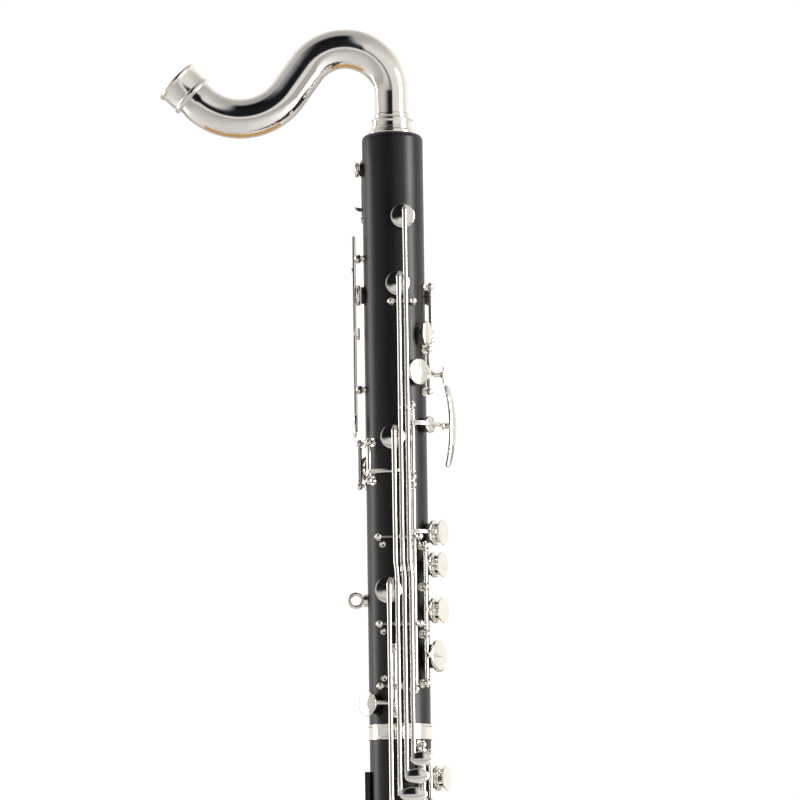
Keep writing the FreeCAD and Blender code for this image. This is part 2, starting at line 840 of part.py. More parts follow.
def back_keys():
    step = size("back_tongue_length") - size("back_tongue_root")
    register_end = size("register_top") - step
    register = back_lever("register_key", size("register_rod"), size("register_bottom"),
                          register_end)
    back_tongue(register, size("register_top") - size("back_tongue_length"),
                size("register_top"), register_end - size("back_tongue_root"))
    touch = back_frame(size("register_bottom") + size("register_touch_inset"))
    oval_touch(register, touch, size("back_bar_level") + size("register_touch_root"),
               "register_touch_half_width", "register_touch_radius")
    register.finish()
    low_vent = back_lever("low_vent_key", size("low_vent_rod"), size("low_vent_bottom"),
                          size("low_vent_top"))
    back_cup(low_vent, size("low_vent_cup"), "dims.low_vent_radius")
    low_vent.finish()
    high_vent_key()


def high_vent_key():
    """The highest vent's cup on a hinge of its own, driven by an arm behind the body."""
    angle = size("high_vent_angle")
    key = Key("high_vent_key", "upper_joint")
    hinge(key, angle, size("high_vent_bottom"), size("high_vent_top"))
    arm(key, angle, size("back_angle"), size("high_vent_cup"))
    cup(key, size("back_angle"), size("high_vent_cup"), "dims.high_vent_radius")
    arm(key, angle, size("high_vent_arm_angle"), size("high_vent_arm"))
    key.finish()
    rod_up("upper", angle, size("high_vent_bottom"), size("high_vent_top"))


def link_key():
    """The arm that crosses from the register key to under the third side key."""
    angle = size("link_angle")
    key = Key("register_link_key", "upper_joint")
    hinge(key, angle, size("link_bottom"), size("link_top"))
    arm(key, angle, size("link_tip_angle"), size("link_arm"))
    key.finish()
    rod_up("upper", angle, size("link_bottom"), size("link_top"))


def thumb_key():
    angle = size("thumb_angle")
    key = Key("thumb_key", "upper_joint", open_rest(angle, way=1))
    hinge(key, angle, size("thumb_bottom"), size("thumb_top"))
    arm(key, angle, size("thumb_plate_angle"), size("thumb_plate"))
    finger_plate(key, size("thumb_plate_angle"), size("thumb_plate"))
    key.finish()
    rod_up("upper", angle, size("thumb_bottom"), size("thumb_top"))


def ring_key():
    """The cup beside the joint ring, at the back of the player's right side."""
    angle = size("ring_key_angle")
    key = Key("ring_side_key", "upper_joint", open_rest(angle, "ring_key_level", 1))
    hinge(key, angle, size("ring_key_bottom"), size("ring_key_top"), "ring_key_level")
    arm(key, angle, size("ring_key_cup_angle"), size("ring_key_cup"), "cup_level")
    cup(key, size("ring_key_cup_angle"), size("ring_key_cup"), "dims.ring_key_cup_radius")
    key.finish("ring_side_pad")
    rod_up("upper", angle, size("ring_key_bottom"), size("ring_key_top"), "ring_key_level")


def left_pinky_keys():
    """Three levers that the left little finger reaches, on the player's left."""
    for number in range(3):
        angle = size("left_pinky_first_angle") + number * size("left_pinky_angle_pitch")
        height = size("left_pinky_first") + number * size("left_pinky_pitch")
        key = Key(f"left_pinky_lever_{number + 1}", "upper_joint")
        hinge(key, angle, size("left_pinky_bottom"), size("left_pinky_top"))
        arm(key, angle, size("left_pinky_touch_angle"), height, "high_arm_level")
        riser(key, angle, height)
        touch = around(size("left_pinky_touch_angle"), height)
        oval_touch(key, touch, size("high_arm_level") + size("joint_overlap"), "oval_radius",
                   "low_touch_half_length")
        key.finish()
        rod_up("upper", angle, size("left_pinky_bottom"), size("left_pinky_top"))


def right_hand_keys():
    angle_a = size("rh_a_angle")
    angle_b = size("rh_b_angle")
    plate_angle = size("rh_plate_angle")
    reach = size("rh_post_offset")
    top = size("rh_plate_1") + reach
    for number in range(3):
        height = size("rh_plate_1") - number * size("rh_plate_pitch")
        key = Key(f"rh_plate_{number + 1}", "lower_joint", open_rest(angle_b))
        hinge(key, angle_b, height - reach, height + reach)
        arm(key, angle_b, plate_angle, height)
        finger_plate(key, plate_angle, height)
        key.finish()
        post("lower", angle_b, height - reach)
    bottom = height - reach
    post("lower", angle_b, top)
    place = around(angle_b, 0, level=size("hinge_level"))
    rods["lower"].append(bound(
        "Part::Cylinder", Placement(place.Base + Vector(0, 0, bottom), Rotation()),
        Radius="dims.rod_radius", Height=f"{top - bottom:.3f}"))
    low_g = Key("low_g_key", "lower_joint", open_rest(angle_a))
    hinge(low_g, angle_a, size("rh_a_bottom"), size("rh_a_top"))
    arm(low_g, angle_a, size("low_g_angle"), size("low_g_cup"), "big_arm_level")
    cup(low_g, size("low_g_angle"), size("low_g_cup"), "dims.low_g_radius")
    low_g.finish()
    rod_up("lower", angle_a, size("rh_a_bottom"), size("rh_a_top"))


def low_keys():
    """Four keys of the right little finger, each on a hinge of its own."""
    names = ["low_f_key", "low_e_key", "low_ef_key", "low_fs_key"]
    cups = ["low_f_cup", "low_e_cup", "low_ef_cup", "low_fs_cup"]
    for number, (name, cell) in enumerate(zip(names, cups)):
        angle = size("low_key_first_angle") + number * size("low_key_angle_pitch")
        height = size(cell)
        bottom = height - size("low_tube_overhang")
        touch_height = size("low_touch_first") + number * size("low_touch_pitch")
        closed = name == "low_fs_key"
        rest = Placement() if closed else open_rest(angle)
        gap = -size("low_cup_gap_angle") if closed else size("low_cup_gap_angle")
        key = Key(name, "lower_joint", rest)
        hinge(key, angle, bottom, size("low_key_top"))
        arm(key, angle, angle + gap, height, "big_arm_level")
        cup(key, angle + gap, height, "dims.low_cup_radius")
        arm(key, angle, size("low_touch_angle"), touch_height, "high_arm_level")
        riser(key, angle, touch_height)
        touch = around(size("low_touch_angle"), touch_height)
        oval_touch(key, touch, size("high_arm_level") + size("joint_overlap"), "oval_radius",
                   "low_touch_half_length")
        key.finish()
        rod_up("lower", angle, bottom, size("low_key_top"))


# --- joints of the body -----------------------------------------------------------------------


def wooden_joint(name, outside, bore):
    """A wooden joint with a raised rim and a hole under each pad."""
    rims = []
    holes = [bore]
    for frame, radius in tone_holes[name]:
        rims.append(bound(
            "Part::Cylinder", inside(frame, 0, 0, size("bore_radius") + size("rim_root")),
            Radius=f"{radius} * dims.hole_share + dims.rim_wall",
            Height="dims.rim_level - dims.bore_radius - dims.rim_root"))
        holes.append(bound("Part::Cylinder", inside(frame, 0, 0, size("hole_start")),
                           Radius=f"{radius} * dims.hole_share", Height="dims.body_radius"))
    node(name, cut(joined([outside] + rims), joined(holes)))


def column(radius, low, high):
    """A round bar on the bore's axis."""
    return bound("Part::Cylinder", on_axis(size(low)), Radius=f"dims.{radius}",
                 Height=f"dims.{high} - dims.{low}")


def rounded_top(bar):
    """The round bar with its top edge rounded over."""
    document.recompute()
    top = max(range(len(bar.Shape.Edges)), key=lambda edge: bar.Shape.Edges[edge].CenterOfMass.z)
    made = document.addObject("Part::Fillet", "shoulder")
    made.Base = bar
    made.Edges = [(top + 1, size("shoulder_round"), size("shoulder_round"))]
    return made


def joints_of_the_body():
    upper = joined([rounded_top(column("body_radius", "joint_height", "body_top")),
                    column("tenon_radius", "tenon_bottom", "joint_height")])
    upper_bore = joined([column("bore_radius", "tenon_bottom", "body_top"),
                         column("cap_seat_radius", "cap_seat_bottom", "body_top")])
    wooden_joint("upper_joint", upper, upper_bore)
    lower = joined([column("body_radius", "foot_seat_top", "ring_bottom"),
                    column("ring_seat_radius", "ring_bottom", "joint_height"),
                    column("foot_seat_radius", "lower_bottom", "foot_seat_top")])
    lower_bore = joined([column("bore_radius", "lower_bottom", "joint_height"),
                         column("socket_radius", "socket_bottom", "joint_height")])
    wooden_joint("lower_joint", lower, lower_bore)


def rings_of_the_body():
    turned_body("joint_ring", [
        ("ring_seat_radius", "ring_bottom"), ("ring_bead_radius", "ring_bottom"),
        ("ring_bead_radius", "ring_low_edge"), ("ring_radius", "ring_low_edge"),
        ("ring_radius", "ring_high_edge"), ("ring_bead_radius", "ring_high_edge"),
        ("ring_bead_radius", "joint_height"), ("ring_seat_radius", "joint_height")])
    turned_body("joint_cork", [
        ("tenon_radius", "tenon_cork_bottom"), ("tenon_cork_radius", "tenon_cork_bottom"),
        ("tenon_cork_radius", "tenon_cork_top"), ("tenon_radius", "tenon_cork_top")])
    turned_body("neck_sleeve", [
        ("neck_sleeve_bore", "cap_seat_bottom"), ("cap_seat_radius", "cap_seat_bottom"),
        ("cap_seat_radius", "body_top"), ("cap_ring_radius", "body_top"),
        ("cap_ring_radius", "cap_ring_top"), ("neck_sleeve_bore", "cap_ring_top")])
    turned_body("bell_ferrule", [
        ("ferrule_inner", "ferrule_bottom"), ("ferrule_radius", "ferrule_bottom"),
        ("ferrule_radius", "foot_seat_top"), ("foot_seat_radius", "foot_seat_top"),
        ("foot_seat_radius", "lower_bottom"), ("ferrule_inner", "lower_bottom")])


# --- bell -------------------------------------------------------------------------------------


def round_loft(stations, shrink=0.0):
    """A solid through circles given as (centre, direction, radius)."""
    circles = [Part.Wire(Part.Circle(centre, way, radius - shrink).toShape())
               for centre, way, radius in stations]
    return Part.makeLoft(circles, True, False)


def bow_stations():
    """Circles around the U bend that leads from the lower joint into the bell."""
    bend = size("bow_bend_radius")
    low = size("bow_bend_height")
    first = size("bow_start_radius")
    growth = size("bow_end_radius") - first
    stations = [(Vector(0, 0, size("bow_top")), Vector(0, 0, -1), first)]
    steps = 15
    for step in range(steps + 1):
        turn = math.radians(size("bow_turn") * step / steps)
        centre = Vector(bend - bend * math.cos(turn), 0, low - bend * math.sin(turn))
        way = Vector(math.sin(turn), 0, -math.cos(turn))
        stations.append((centre, way, first + growth * step / steps))
    return stations


def bell_place():
    """The frame of the flare: its Z axis runs out of the bow's end."""
    centre, way, _ = bow_stations()[-1]
    return Placement(centre, Rotation(Vector(0, 0, 1), way))


def flare_radius(share):
    """The bell's outer radius at a share of its length."""
    rate = size("bell_flare_rate")
    first = size("bow_end_radius")
    rise = (math.exp(rate * share) - 1) / (math.exp(rate) - 1)
    gentle = size("bell_gentle_share")
    return first + (size("bell_rim_radius") - first) * (gentle * share + (1 - gentle) * rise)


def bell():
    stations = bow_stations()
    wall = size("bell_wall")
    outer = round_loft(stations)
    inner = round_loft(stations, wall)
    bow = document.addObject("Part::Feature", "bow")
    bow.Shape = outer.cut(inner)
    node("bell_bow", bow)
    length = size("bell_length")
    steps = 10
    curve = [Vector(flare_radius(step / steps), 0, length * step / steps)
             for step in range(steps + 1)]
    inner_curve = [point - Vector(wall, 0, 0) for point in curve]
    outside = Part.BSplineCurve()
    outside.interpolate(curve)
    within = Part.BSplineCurve()
    within.interpolate(inner_curve)
    outline = Part.Wire([
        outside.toShape(),
        Part.makeLine(curve[-1], inner_curve[-1]),
        within.toShape(),
        Part.makeLine(inner_curve[0], curve[0])])
    flare = document.addObject("Part::Feature", "flare")
    flare.Shape = Part.Face(outline).revolve(Vector(), Vector(0, 0, 1), 360)
    flare.Placement = bell_place()
    node("bell_flare", flare)
    rim_place = bell_place().multiply(on_axis(length + size("rim_wire_radius")))
    rim = bound("Part::Torus", rim_place, Radius1="dims.bell_rim_radius - dims.bell_wall / 2",
                Radius2="dims.rim_wire_radius")
    node("bell_rim", rim)


def peg_parts():
    """The floor peg's socket under the bow, and the thumbscrew that holds the peg."""
    length = size("peg_foot_top")
    socket = bound("Part::Cylinder", on_axis(0), Radius="dims.peg_socket_radius",
                   Height=f"{length}")
    back = Rotation(Vector(0, 1, 0), -90)
    height = size("peg_screw_height")
    boss = bound("Part::Cylinder", Placement(Vector(0, 0, height), back),
                 Radius="dims.peg_boss_radius", Height="dims.peg_boss_outer")
    bore = bound("Part::Cylinder", on_axis(-size("joint_overlap")), Radius="dims.peg_bore_radius",
                 Height="dims.peg_socket_length + dims.joint_overlap")
    hole = bound("Part::Cylinder", Placement(Vector(0, 0, height), back),
                 Radius="dims.peg_screw_hole_radius", Height="dims.peg_boss_outer + dims.joint_overlap")
    space = document.addObject("Part::Feature", "bow_space")
    space.Shape = round_loft(bow_stations())
    node("peg_socket", cut(joined([socket, boss]), joined([bore, hole, space])))
    start = Placement(Vector(-size("peg_screw_inner"), 0, height), back)
    shank = bound("Part::Cylinder", start, Radius="dims.peg_screw_radius",
                  Height="dims.peg_screw_outer - dims.peg_screw_inner")
    wing = bound("Part::Cylinder", Placement(
        Vector(-size("peg_screw_outer") - size("peg_wing_back"),
               -size("peg_wing_thickness") / 2, height),
        Rotation(Vector(1, 0, 0), -90)),
        Radius="dims.peg_wing_radius", Height="dims.peg_wing_thickness")
    reach = size("peg_clear_box")
    clear = bound("Part::Box", Placement(
        Vector(-size("peg_boss_outer") - size("post_gap"), -reach, height - reach), Rotation()),
        Length="dims.peg_clear_box", Width="dims.peg_clear_box * 2",
        Height="dims.peg_clear_box * 2")
    node("peg_screw", joined([shank, cut(wing, clear)]))


# --- neck -------------------------------------------------------------------------------------


def neck_stations():
    """Circles from the collar over the S bend to the receiver."""
    straight = size("neck_straight_top")
    first = size("collar_bead_radius") - size("collar_bead_stand")
    thick = size("neck_thick_radius")
    high_bend = size("neck_bend_radius")
    stations = [(Vector(0, 0, size("collar_bead_top")), Vector(0, 0, 1), first)]
    growth = size("neck_growth")
    steps = 14
    for step in range(steps + 1):
        share = step / steps
        turn = math.radians(size("neck_bend_turn") * share)
        centre = Vector(-high_bend + high_bend * math.cos(turn), 0,
                        straight + high_bend * math.sin(turn))
        way = Vector(-math.sin(turn), 0, math.cos(turn))
        radius = first + (thick - first) * min(1.0, growth * share)
        stations.append((centre, way, radius))
    centre = centre + way * size("neck_slope_length")
    low_bend = size("neck_low_bend_radius")
    top_turn = size("neck_bend_turn")
    inward = Vector(-math.cos(math.radians(top_turn)), 0, -math.sin(math.radians(top_turn)))
    pivot = centre - inward * low_bend
    steps = 10
    for step in range(steps + 1):
        heading = math.radians(top_turn - size("neck_low_bend_turn") * step / steps)
        centre = pivot + Vector(-math.cos(heading), 0, -math.sin(heading)) * low_bend
        way = Vector(-math.sin(heading), 0, math.cos(heading))
        stations.append((centre, way, thick))
    stations.append((centre + way * size("neck_lead"), way, size("neck_mouth_radius")))
    return stations


def neck():
    stations = neck_stations()
    outer = round_loft(stations)
    inner = round_loft(stations, size("neck_wall"))
    tenon = Part.makeCylinder(size("neck_tenon_radius"),
                              size("collar_bead_top") - size("neck_cork_bottom"),
                              Vector(0, 0, size("neck_cork_bottom")))
    tenon_bore = Part.makeCylinder(size("neck_bore_radius"),
                                   size("collar_bead_top") - size("neck_cork_bottom"),
                                   Vector(0, 0, size("neck_cork_bottom")))
    tube = document.addObject("Part::Feature", "tube")
    tube.Shape = outer.cut(inner).fuse(tenon.cut(tenon_bore))
    node("neck_tube", tube)
    turned_body("neck_cork", [
        ("neck_tenon_radius", "neck_cork_bottom"), ("neck_cork_radius", "neck_cork_bottom"),
        ("neck_cork_radius", "neck_cork_top"), ("neck_tenon_radius", "neck_cork_top")])
    turned_body("neck_collar", [
        ("neck_tenon_radius", "collar_bottom"), ("collar_radius", "collar_bottom"),
        ("collar_radius", "collar_top"), ("collar_bead_radius", "collar_top"),
        ("collar_bead_radius", "collar_bead_top"), ("neck_tenon_radius", "collar_bead_top")])
    centre, way, _ = stations[-1]
    turned_body("mouthpiece_receiver", [
        ("receiver_bore", "receiver_floor"), ("receiver_bore", "receiver_top"),
        ("receiver_lip", "receiver_top"), ("receiver_lip", "receiver_lip_foot"),
        ("receiver_radius", "receiver_lip_foot"), ("receiver_radius", "receiver_bead_top"),
        ("receiver_bead", "receiver_bead_top"), ("receiver_bead", "receiver_zero"),
        ("receiver_throat", "receiver_zero"), ("receiver_throat", "receiver_floor")],
        Placement(centre, Rotation(Vector(0, 0, 1), way)))


def supports():
    """The strap ring and the thumb rest at the back."""
    height = size("strap_height")
    frame = back_frame(height)
    base = bound("Part::Cylinder", inside(frame, 0, 0, size("body_radius")),
                 Radius="dims.strap_base_radius", Height="dims.strap_base_thickness")
    ring = bound("Part::Torus", frame.multiply(
        Placement(Vector(0, 0, size("strap_level")), Rotation(Vector(0, 1, 0), 90))),
        Radius1="dims.strap_ring_radius", Radius2="dims.strap_wire_radius")
    node("strap_ring", joined([base, ring]))
    plate_frame = back_frame(size("rest_bottom"))
    wide = size("rest_width")
    plate = bound("Part::Box", inside(plate_frame, -wide / 2, 0, size("body_radius")),
                  Length="dims.rest_width", Width="dims.rest_length",
                  Height="dims.rest_thickness")
    hook_frame = back_frame(size("rest_hook_height"))
    hook = bound("Part::Box", inside(hook_frame, -wide / 2, 0, size("body_radius")),
                 Length="dims.rest_width", Width="dims.rest_hook_thickness",
                 Height="dims.rest_hook_length")
    node("thumb_rest", joined([plate, hook]))


def posts_and_rods():
    for where in ("upper", "lower"):
        bars = grouped(rods[where])
        node(f"hinge_rods_{where}", bars)
        drilled = [cut(item, bars) for item in posts[where]]
        node(f"posts_{where}", grouped(drilled))


def check_and_export():
    """Stops at any failed object, then writes one STEP file for each sub-part."""
    document.recompute()
    for item in document.Objects:
        if "Invalid" in item.State or "Error" in item.State:
            raise RuntimeError(f"{item.Name} ({item.Label}) failed")
    os.makedirs("parts", exist_ok=True)
    for name, item in NODES.items():
        shape = item.Shape
        if shape.isNull() or not shape.isValid():
            raise RuntimeError(f"{name} has no valid shape")
        shape.exportStep(f"parts/{name}.step")
        print(name, len(shape.Solids), "solids")
    print(len(NODES), "nodes")


side_keys()
front_keys()
first_finger_key()
throat_gs_key()
upper_vent_key()
back_keys()
link_key()
thumb_key()
ring_key()
left_pinky_keys()
right_hand_keys()
low_keys()
joints_of_the_body()
rings_of_the_body()
bell()
peg_parts()
neck()
supports()
posts_and_rods()
check_and_export()
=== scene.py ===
import math

import bpy
from mathutils import Matrix, Vector


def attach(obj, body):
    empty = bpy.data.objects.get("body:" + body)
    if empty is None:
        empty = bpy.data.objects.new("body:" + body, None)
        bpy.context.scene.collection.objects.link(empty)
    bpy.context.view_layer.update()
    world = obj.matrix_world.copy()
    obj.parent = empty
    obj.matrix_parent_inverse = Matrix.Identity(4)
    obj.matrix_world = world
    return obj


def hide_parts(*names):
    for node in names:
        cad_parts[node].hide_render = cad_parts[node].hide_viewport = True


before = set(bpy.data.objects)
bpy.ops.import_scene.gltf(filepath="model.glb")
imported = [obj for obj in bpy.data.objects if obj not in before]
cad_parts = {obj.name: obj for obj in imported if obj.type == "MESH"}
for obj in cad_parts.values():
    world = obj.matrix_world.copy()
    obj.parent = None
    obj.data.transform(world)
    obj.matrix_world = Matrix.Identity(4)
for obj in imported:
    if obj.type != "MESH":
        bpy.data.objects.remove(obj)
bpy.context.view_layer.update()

# The looks of a bass clarinet: mirror silver neck and keys, matte black wood, leather pads.
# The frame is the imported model's: +Z up the bore, +X to the front, -Y to the player's right.
# Lengths here are in millimetres and angles in degrees, and MM turns them into metres.
# An angle is counted around the bore from +X, and a level is a distance from the bore's axis.

MM = 0.001

BODY_RADIUS = 21.5
JOINT_HEIGHT = 508.7

PAD_LEVEL = 23.7
PAD_THICKNESS = 2.0
CUP_LEVEL = 25.7
CUP_TOP = 26.7
DOME_TOP = 27.5

HINGE_LEVEL = 26.0
TUBE_RADIUS = 1.7
ROD_RADIUS = 0.8
POST_HEAD = 2.5
POST_GAP = 0.4
ARM_WIDTH = 3.4
ARM_THICKNESS = 1.6
ARM_LEVEL = 26.4
BIG_ARM_LEVEL = 27.5
HIGH_ARM_LEVEL = 29.6
PLATE_RADIUS = 9.0
PLATE_NECK_RADIUS = 7.2
PLATE_LEVEL = 31.0
PLATE_THICKNESS = 1.4
OPEN_TURN = 7.0
SMALL_CUP = 6
TOUCH_RISE = 1.0

METAL_CREASE = 40.0
KEY_CREASE = 32.0
POST_CREASE = 35.0
ROUND_CREASE = 60.0
PAD_CREASE = 50.0

SIDE_ANGLE = -90
SIDE_ROD_LEVEL = 27.6
SIDE_BAR_LEVEL = 33.0
SIDE_BAR_THICKNESS = 2.0
SIDE_BAR_WIDTH = 3.4
SIDE_TONGUE_LEVEL = 30.4

BACK_ANGLE = 180
BACK_ROD_LEVEL = 25.3
BACK_BAR_LEVEL = 26.9
BACK_BAR_THICKNESS = 2.6
BACK_BAR_WIDTH = 5.0
BACK_POST_OFFSET = 5.4


# --- materials ---


class Nodes:
    """Short calls that add and link the nodes of one tree."""

    MIX_FIRST, MIX_SECOND, MIX_RESULT = 6, 7, 2

    def __init__(self, tree):
        self.tree = tree

    def link(self, start, end):
        self.tree.links.new(start, end)

    def add(self, kind, inputs=None, **settings):
        """Adds a node; each input is a value, a colour or the socket that feeds it."""
        made = self.tree.nodes.new(kind)
        for name, value in settings.items():
            setattr(made, name, value)
        for name, value in (inputs or {}).items():
            socket = made.inputs[name]
            if isinstance(value, bpy.types.NodeSocket):
                self.link(value, socket)
            else:
                socket.default_value = (*value, 1) if socket.type == "RGBA" else value
        return made

    def spread(self, value, low, high, to_low=0.0, to_high=1.0, easing="LINEAR"):
        inputs = {"Value": value, "From Min": low, "From Max": high, "To Min": to_low,
                  "To Max": to_high}
        return self.add("ShaderNodeMapRange", inputs, interpolation_type=easing).outputs["Result"]

    def calculate(self, operation, *values):
        inputs = dict(enumerate(values))
        return self.add("ShaderNodeMath", inputs, operation=operation).outputs[0]

    def blend(self, factor, first, second):
        inputs = {"Factor": factor, self.MIX_FIRST: first, self.MIX_SECOND: second}
        return self.add("ShaderNodeMix", inputs, data_type="RGBA").outputs[self.MIX_RESULT]


class Surface(Nodes):
    """The nodes of one material, from its texture coordinates to its shader."""

    def __init__(self, name):
        self.material = bpy.data.materials.new(name)
        self.material.use_nodes = True
        super().__init__(self.material.node_tree)
        self.shader = self.tree.nodes["Principled BSDF"]
        self.place = self.add("ShaderNodeTexCoord").outputs["Object"]

    def stretched(self, x, y, z):
        inputs = {"Vector": self.place, "Scale": (x, y, z)}
        return self.add("ShaderNodeMapping", inputs).outputs["Vector"]

    def noise(self, vector, scale, detail=4.0, rough=0.55):
        inputs = {"Vector": vector, "Scale": scale, "Detail": detail, "Roughness": rough}
        return self.add("ShaderNodeTexNoise", inputs).outputs["Fac"]

    def cells(self, vector, scale):
        inputs = {"Vector": vector, "Scale": scale}
        return self.add("ShaderNodeTexVoronoi", inputs).outputs["Distance"]

    def bump(self, height, strength, distance, under=None):
        inputs = {"Height": height, "Strength": strength, "Distance": distance}
        if under:
            inputs["Normal"] = under
        return self.add("ShaderNodeBump", inputs).outputs["Normal"]

    def finish(self, colour, rough=None, normal=None):
        for name, source in (("Base Color", colour), ("Roughness", rough), ("Normal", normal)):
            if source:
                self.link(source, self.shader.inputs[name])
        return self.material


def silver(name, low_rough, high_rough, tone=(0.93, 0.908, 0.868)):
    """Polished silver plate with faint wiping marks, cloudy handling and warmer tarnish."""
    made = Surface(name)
    made.shader.inputs["Metallic"].default_value = 1.0
    clouds = made.noise(made.place, 45, 3)
    wipes = made.noise(made.stretched(900, 900, 120), 1.0, 2)
    tarnish = made.spread(made.noise(made.place, 90, 5, 0.7), 0.52, 0.78)
    dull = tuple(part * shade for part, shade in zip(tone, (0.84, 0.80, 0.73)))
    colour = made.blend(tarnish, tone, dull)
    rough = made.spread(clouds, 0.3, 0.75, low_rough, high_rough)
    normal = made.bump(wipes, 0.05, 0.00004)
    return made.finish(colour, rough, normal)


def grenadilla():
    """Oiled black wood: close grain along the bore, fine pores and a slight satin sheen."""
    made = Surface("grenadilla")
    grain = made.noise(made.stretched(700, 700, 26), 1.0, 5, 0.62)
    pores = made.cells(made.stretched(1400, 1400, 110), 1.0)
    drift = made.noise(made.stretched(60, 60, 9), 1.0, 3)
    streak = made.blend(made.spread(grain, 0.36, 0.68), (0.0032, 0.0026, 0.0035),
                        (0.0092, 0.0076, 0.0080))
    colour = made.blend(made.spread(drift, 0.35, 0.75), streak, (0.0041, 0.0034, 0.0043))
    rough = made.spread(grain, 0.3, 0.7, 0.30, 0.40)
    deep = made.bump(made.spread(pores, 0.02, 0.16), 0.22, 0.00006)
    normal = made.bump(grain, 0.28, 0.00010, deep)
    made.shader.inputs["Specular IOR Level"].default_value = 0.43
    return made.finish(colour, rough, normal)


def pad_leather():
    """Tan pad skin: soft grain, darker towards patches that meet the tone hole's rim."""
    made = Surface("pad_leather")
    grain = made.cells(made.place, 2600)
    patches = made.noise(made.place, 240, 4)
    colour = made.blend(made.spread(patches, 0.35, 0.7), (0.60, 0.45, 0.30), (0.42, 0.28, 0.17))
    rough = made.spread(patches, 0.3, 0.7, 0.55, 0.72)
    normal = made.bump(grain, 0.35, 0.00005)
    return made.finish(colour, rough, normal)


def cork():
    """Ground cork: soft lumps with scattered dark flecks."""
    made = Surface("tenon_cork")
    lumps = made.cells(made.place, 900)
    flecks = made.spread(made.noise(made.place, 1300, 3), 0.56, 0.66)
    base = made.blend(made.spread(lumps, 0.1, 0.6), (0.50, 0.33, 0.19), (0.68, 0.49, 0.31))
    colour = made.blend(flecks, base, (0.16, 0.09, 0.05))
    rough = made.spread(lumps, 0.0, 0.6, 0.75, 0.9)
    return made.finish(colour, rough, made.bump(lumps, 0.5, 0.0001))


def steel(name, tone, low_rough, high_rough):
    """Drawn steel with fine lines along its length."""
    made = Surface(name)
    made.shader.inputs["Metallic"].default_value = 1.0
    lines = made.noise(made.stretched(2400, 2400, 60), 1.0, 3)
    darker = tuple(part * 0.72 for part in tone)
    colour = made.blend(made.spread(lines, 0.3, 0.7), tone, darker)
    rough = made.spread(lines, 0.3, 0.7, low_rough, high_rough)
    return made.finish(colour, rough, made.bump(lines, 0.2, 0.00003))


def black_rest():
    """Moulded black plastic with a fine satin texture and worn, shinier spots."""
    made = Surface("black_rest")
    texture = made.noise(made.place, 3200, 3)
    wear = made.noise(made.place, 120, 3)
    colour = made.blend(made.spread(wear, 0.4, 0.7), (0.012, 0.012, 0.013), (0.030, 0.030, 0.031))
    rough = made.spread(wear, 0.35, 0.7, 0.58, 0.36)
    return made.finish(colour, rough, made.bump(texture, 0.25, 0.00005))


SILVER = silver("silver_plate", 0.05, 0.13)
KEY_SILVER = silver("key_silver", 0.05, 0.12, (0.90, 0.876, 0.83))
BELL_SILVER = silver("bell_silver", 0.08, 0.17)
WOOD = grenadilla()
LEATHER = pad_leather()
CORK = cork()
ROD_STEEL = steel("rod_steel", (0.52, 0.53, 0.55), 0.22, 0.36)
SPRING_STEEL = steel("blued_spring_steel", (0.09, 0.13, 0.24), 0.25, 0.38)
REST = black_rest()


# --- mesh building ---


BORE_AXIS = Matrix.Identity(4)
UP = Vector((0, 0, 1))
LEFT = Vector((0, 1, 0))


def frame_of(x, y, z, origin):
    """A frame from its three axes and its origin."""
    return Matrix.Translation(origin) @ Matrix((x, y, z)).transposed().to_4x4()


def around(angle, height, offset=0.0, level=0.0):
    """A frame at an angle: local Z points outward, Y up the bore and X along the surface."""
    turn = math.radians(angle)
    out = Vector((math.cos(turn), math.sin(turn), 0))
    along = Vector((-math.sin(turn), math.cos(turn), 0))
    return frame_of(along, UP, out, out * level + along * offset + UP * height)


def axes(place):
    """The three axes of a frame."""
    matrix = place.to_3x3()
    return matrix.col[0].copy(), matrix.col[1].copy(), matrix.col[2].copy()


def shifted(place, x, y, z):
    return place @ Matrix.Translation((x, y, z))


def up_the_bore(angle, height, level):
    """A frame whose Z runs up the bore through a hinge line."""
    turn = math.radians(angle)
    return Matrix.Translation((level * math.cos(turn), level * math.sin(turn), height))


def across(place, level):
    """A frame whose Z runs across the body through a lever's hinge line."""
    return place @ Matrix.Translation((0, 0, level)) @ Matrix.Rotation(math.radians(90), 4, "Y")


def rest_turn(angle, level, turn):
    """A turn about a hinge that runs up the body."""
    centre = up_the_bore(angle, 0, level)
    return centre @ Matrix.Rotation(math.radians(turn), 4, "Z") @ centre.inverted()


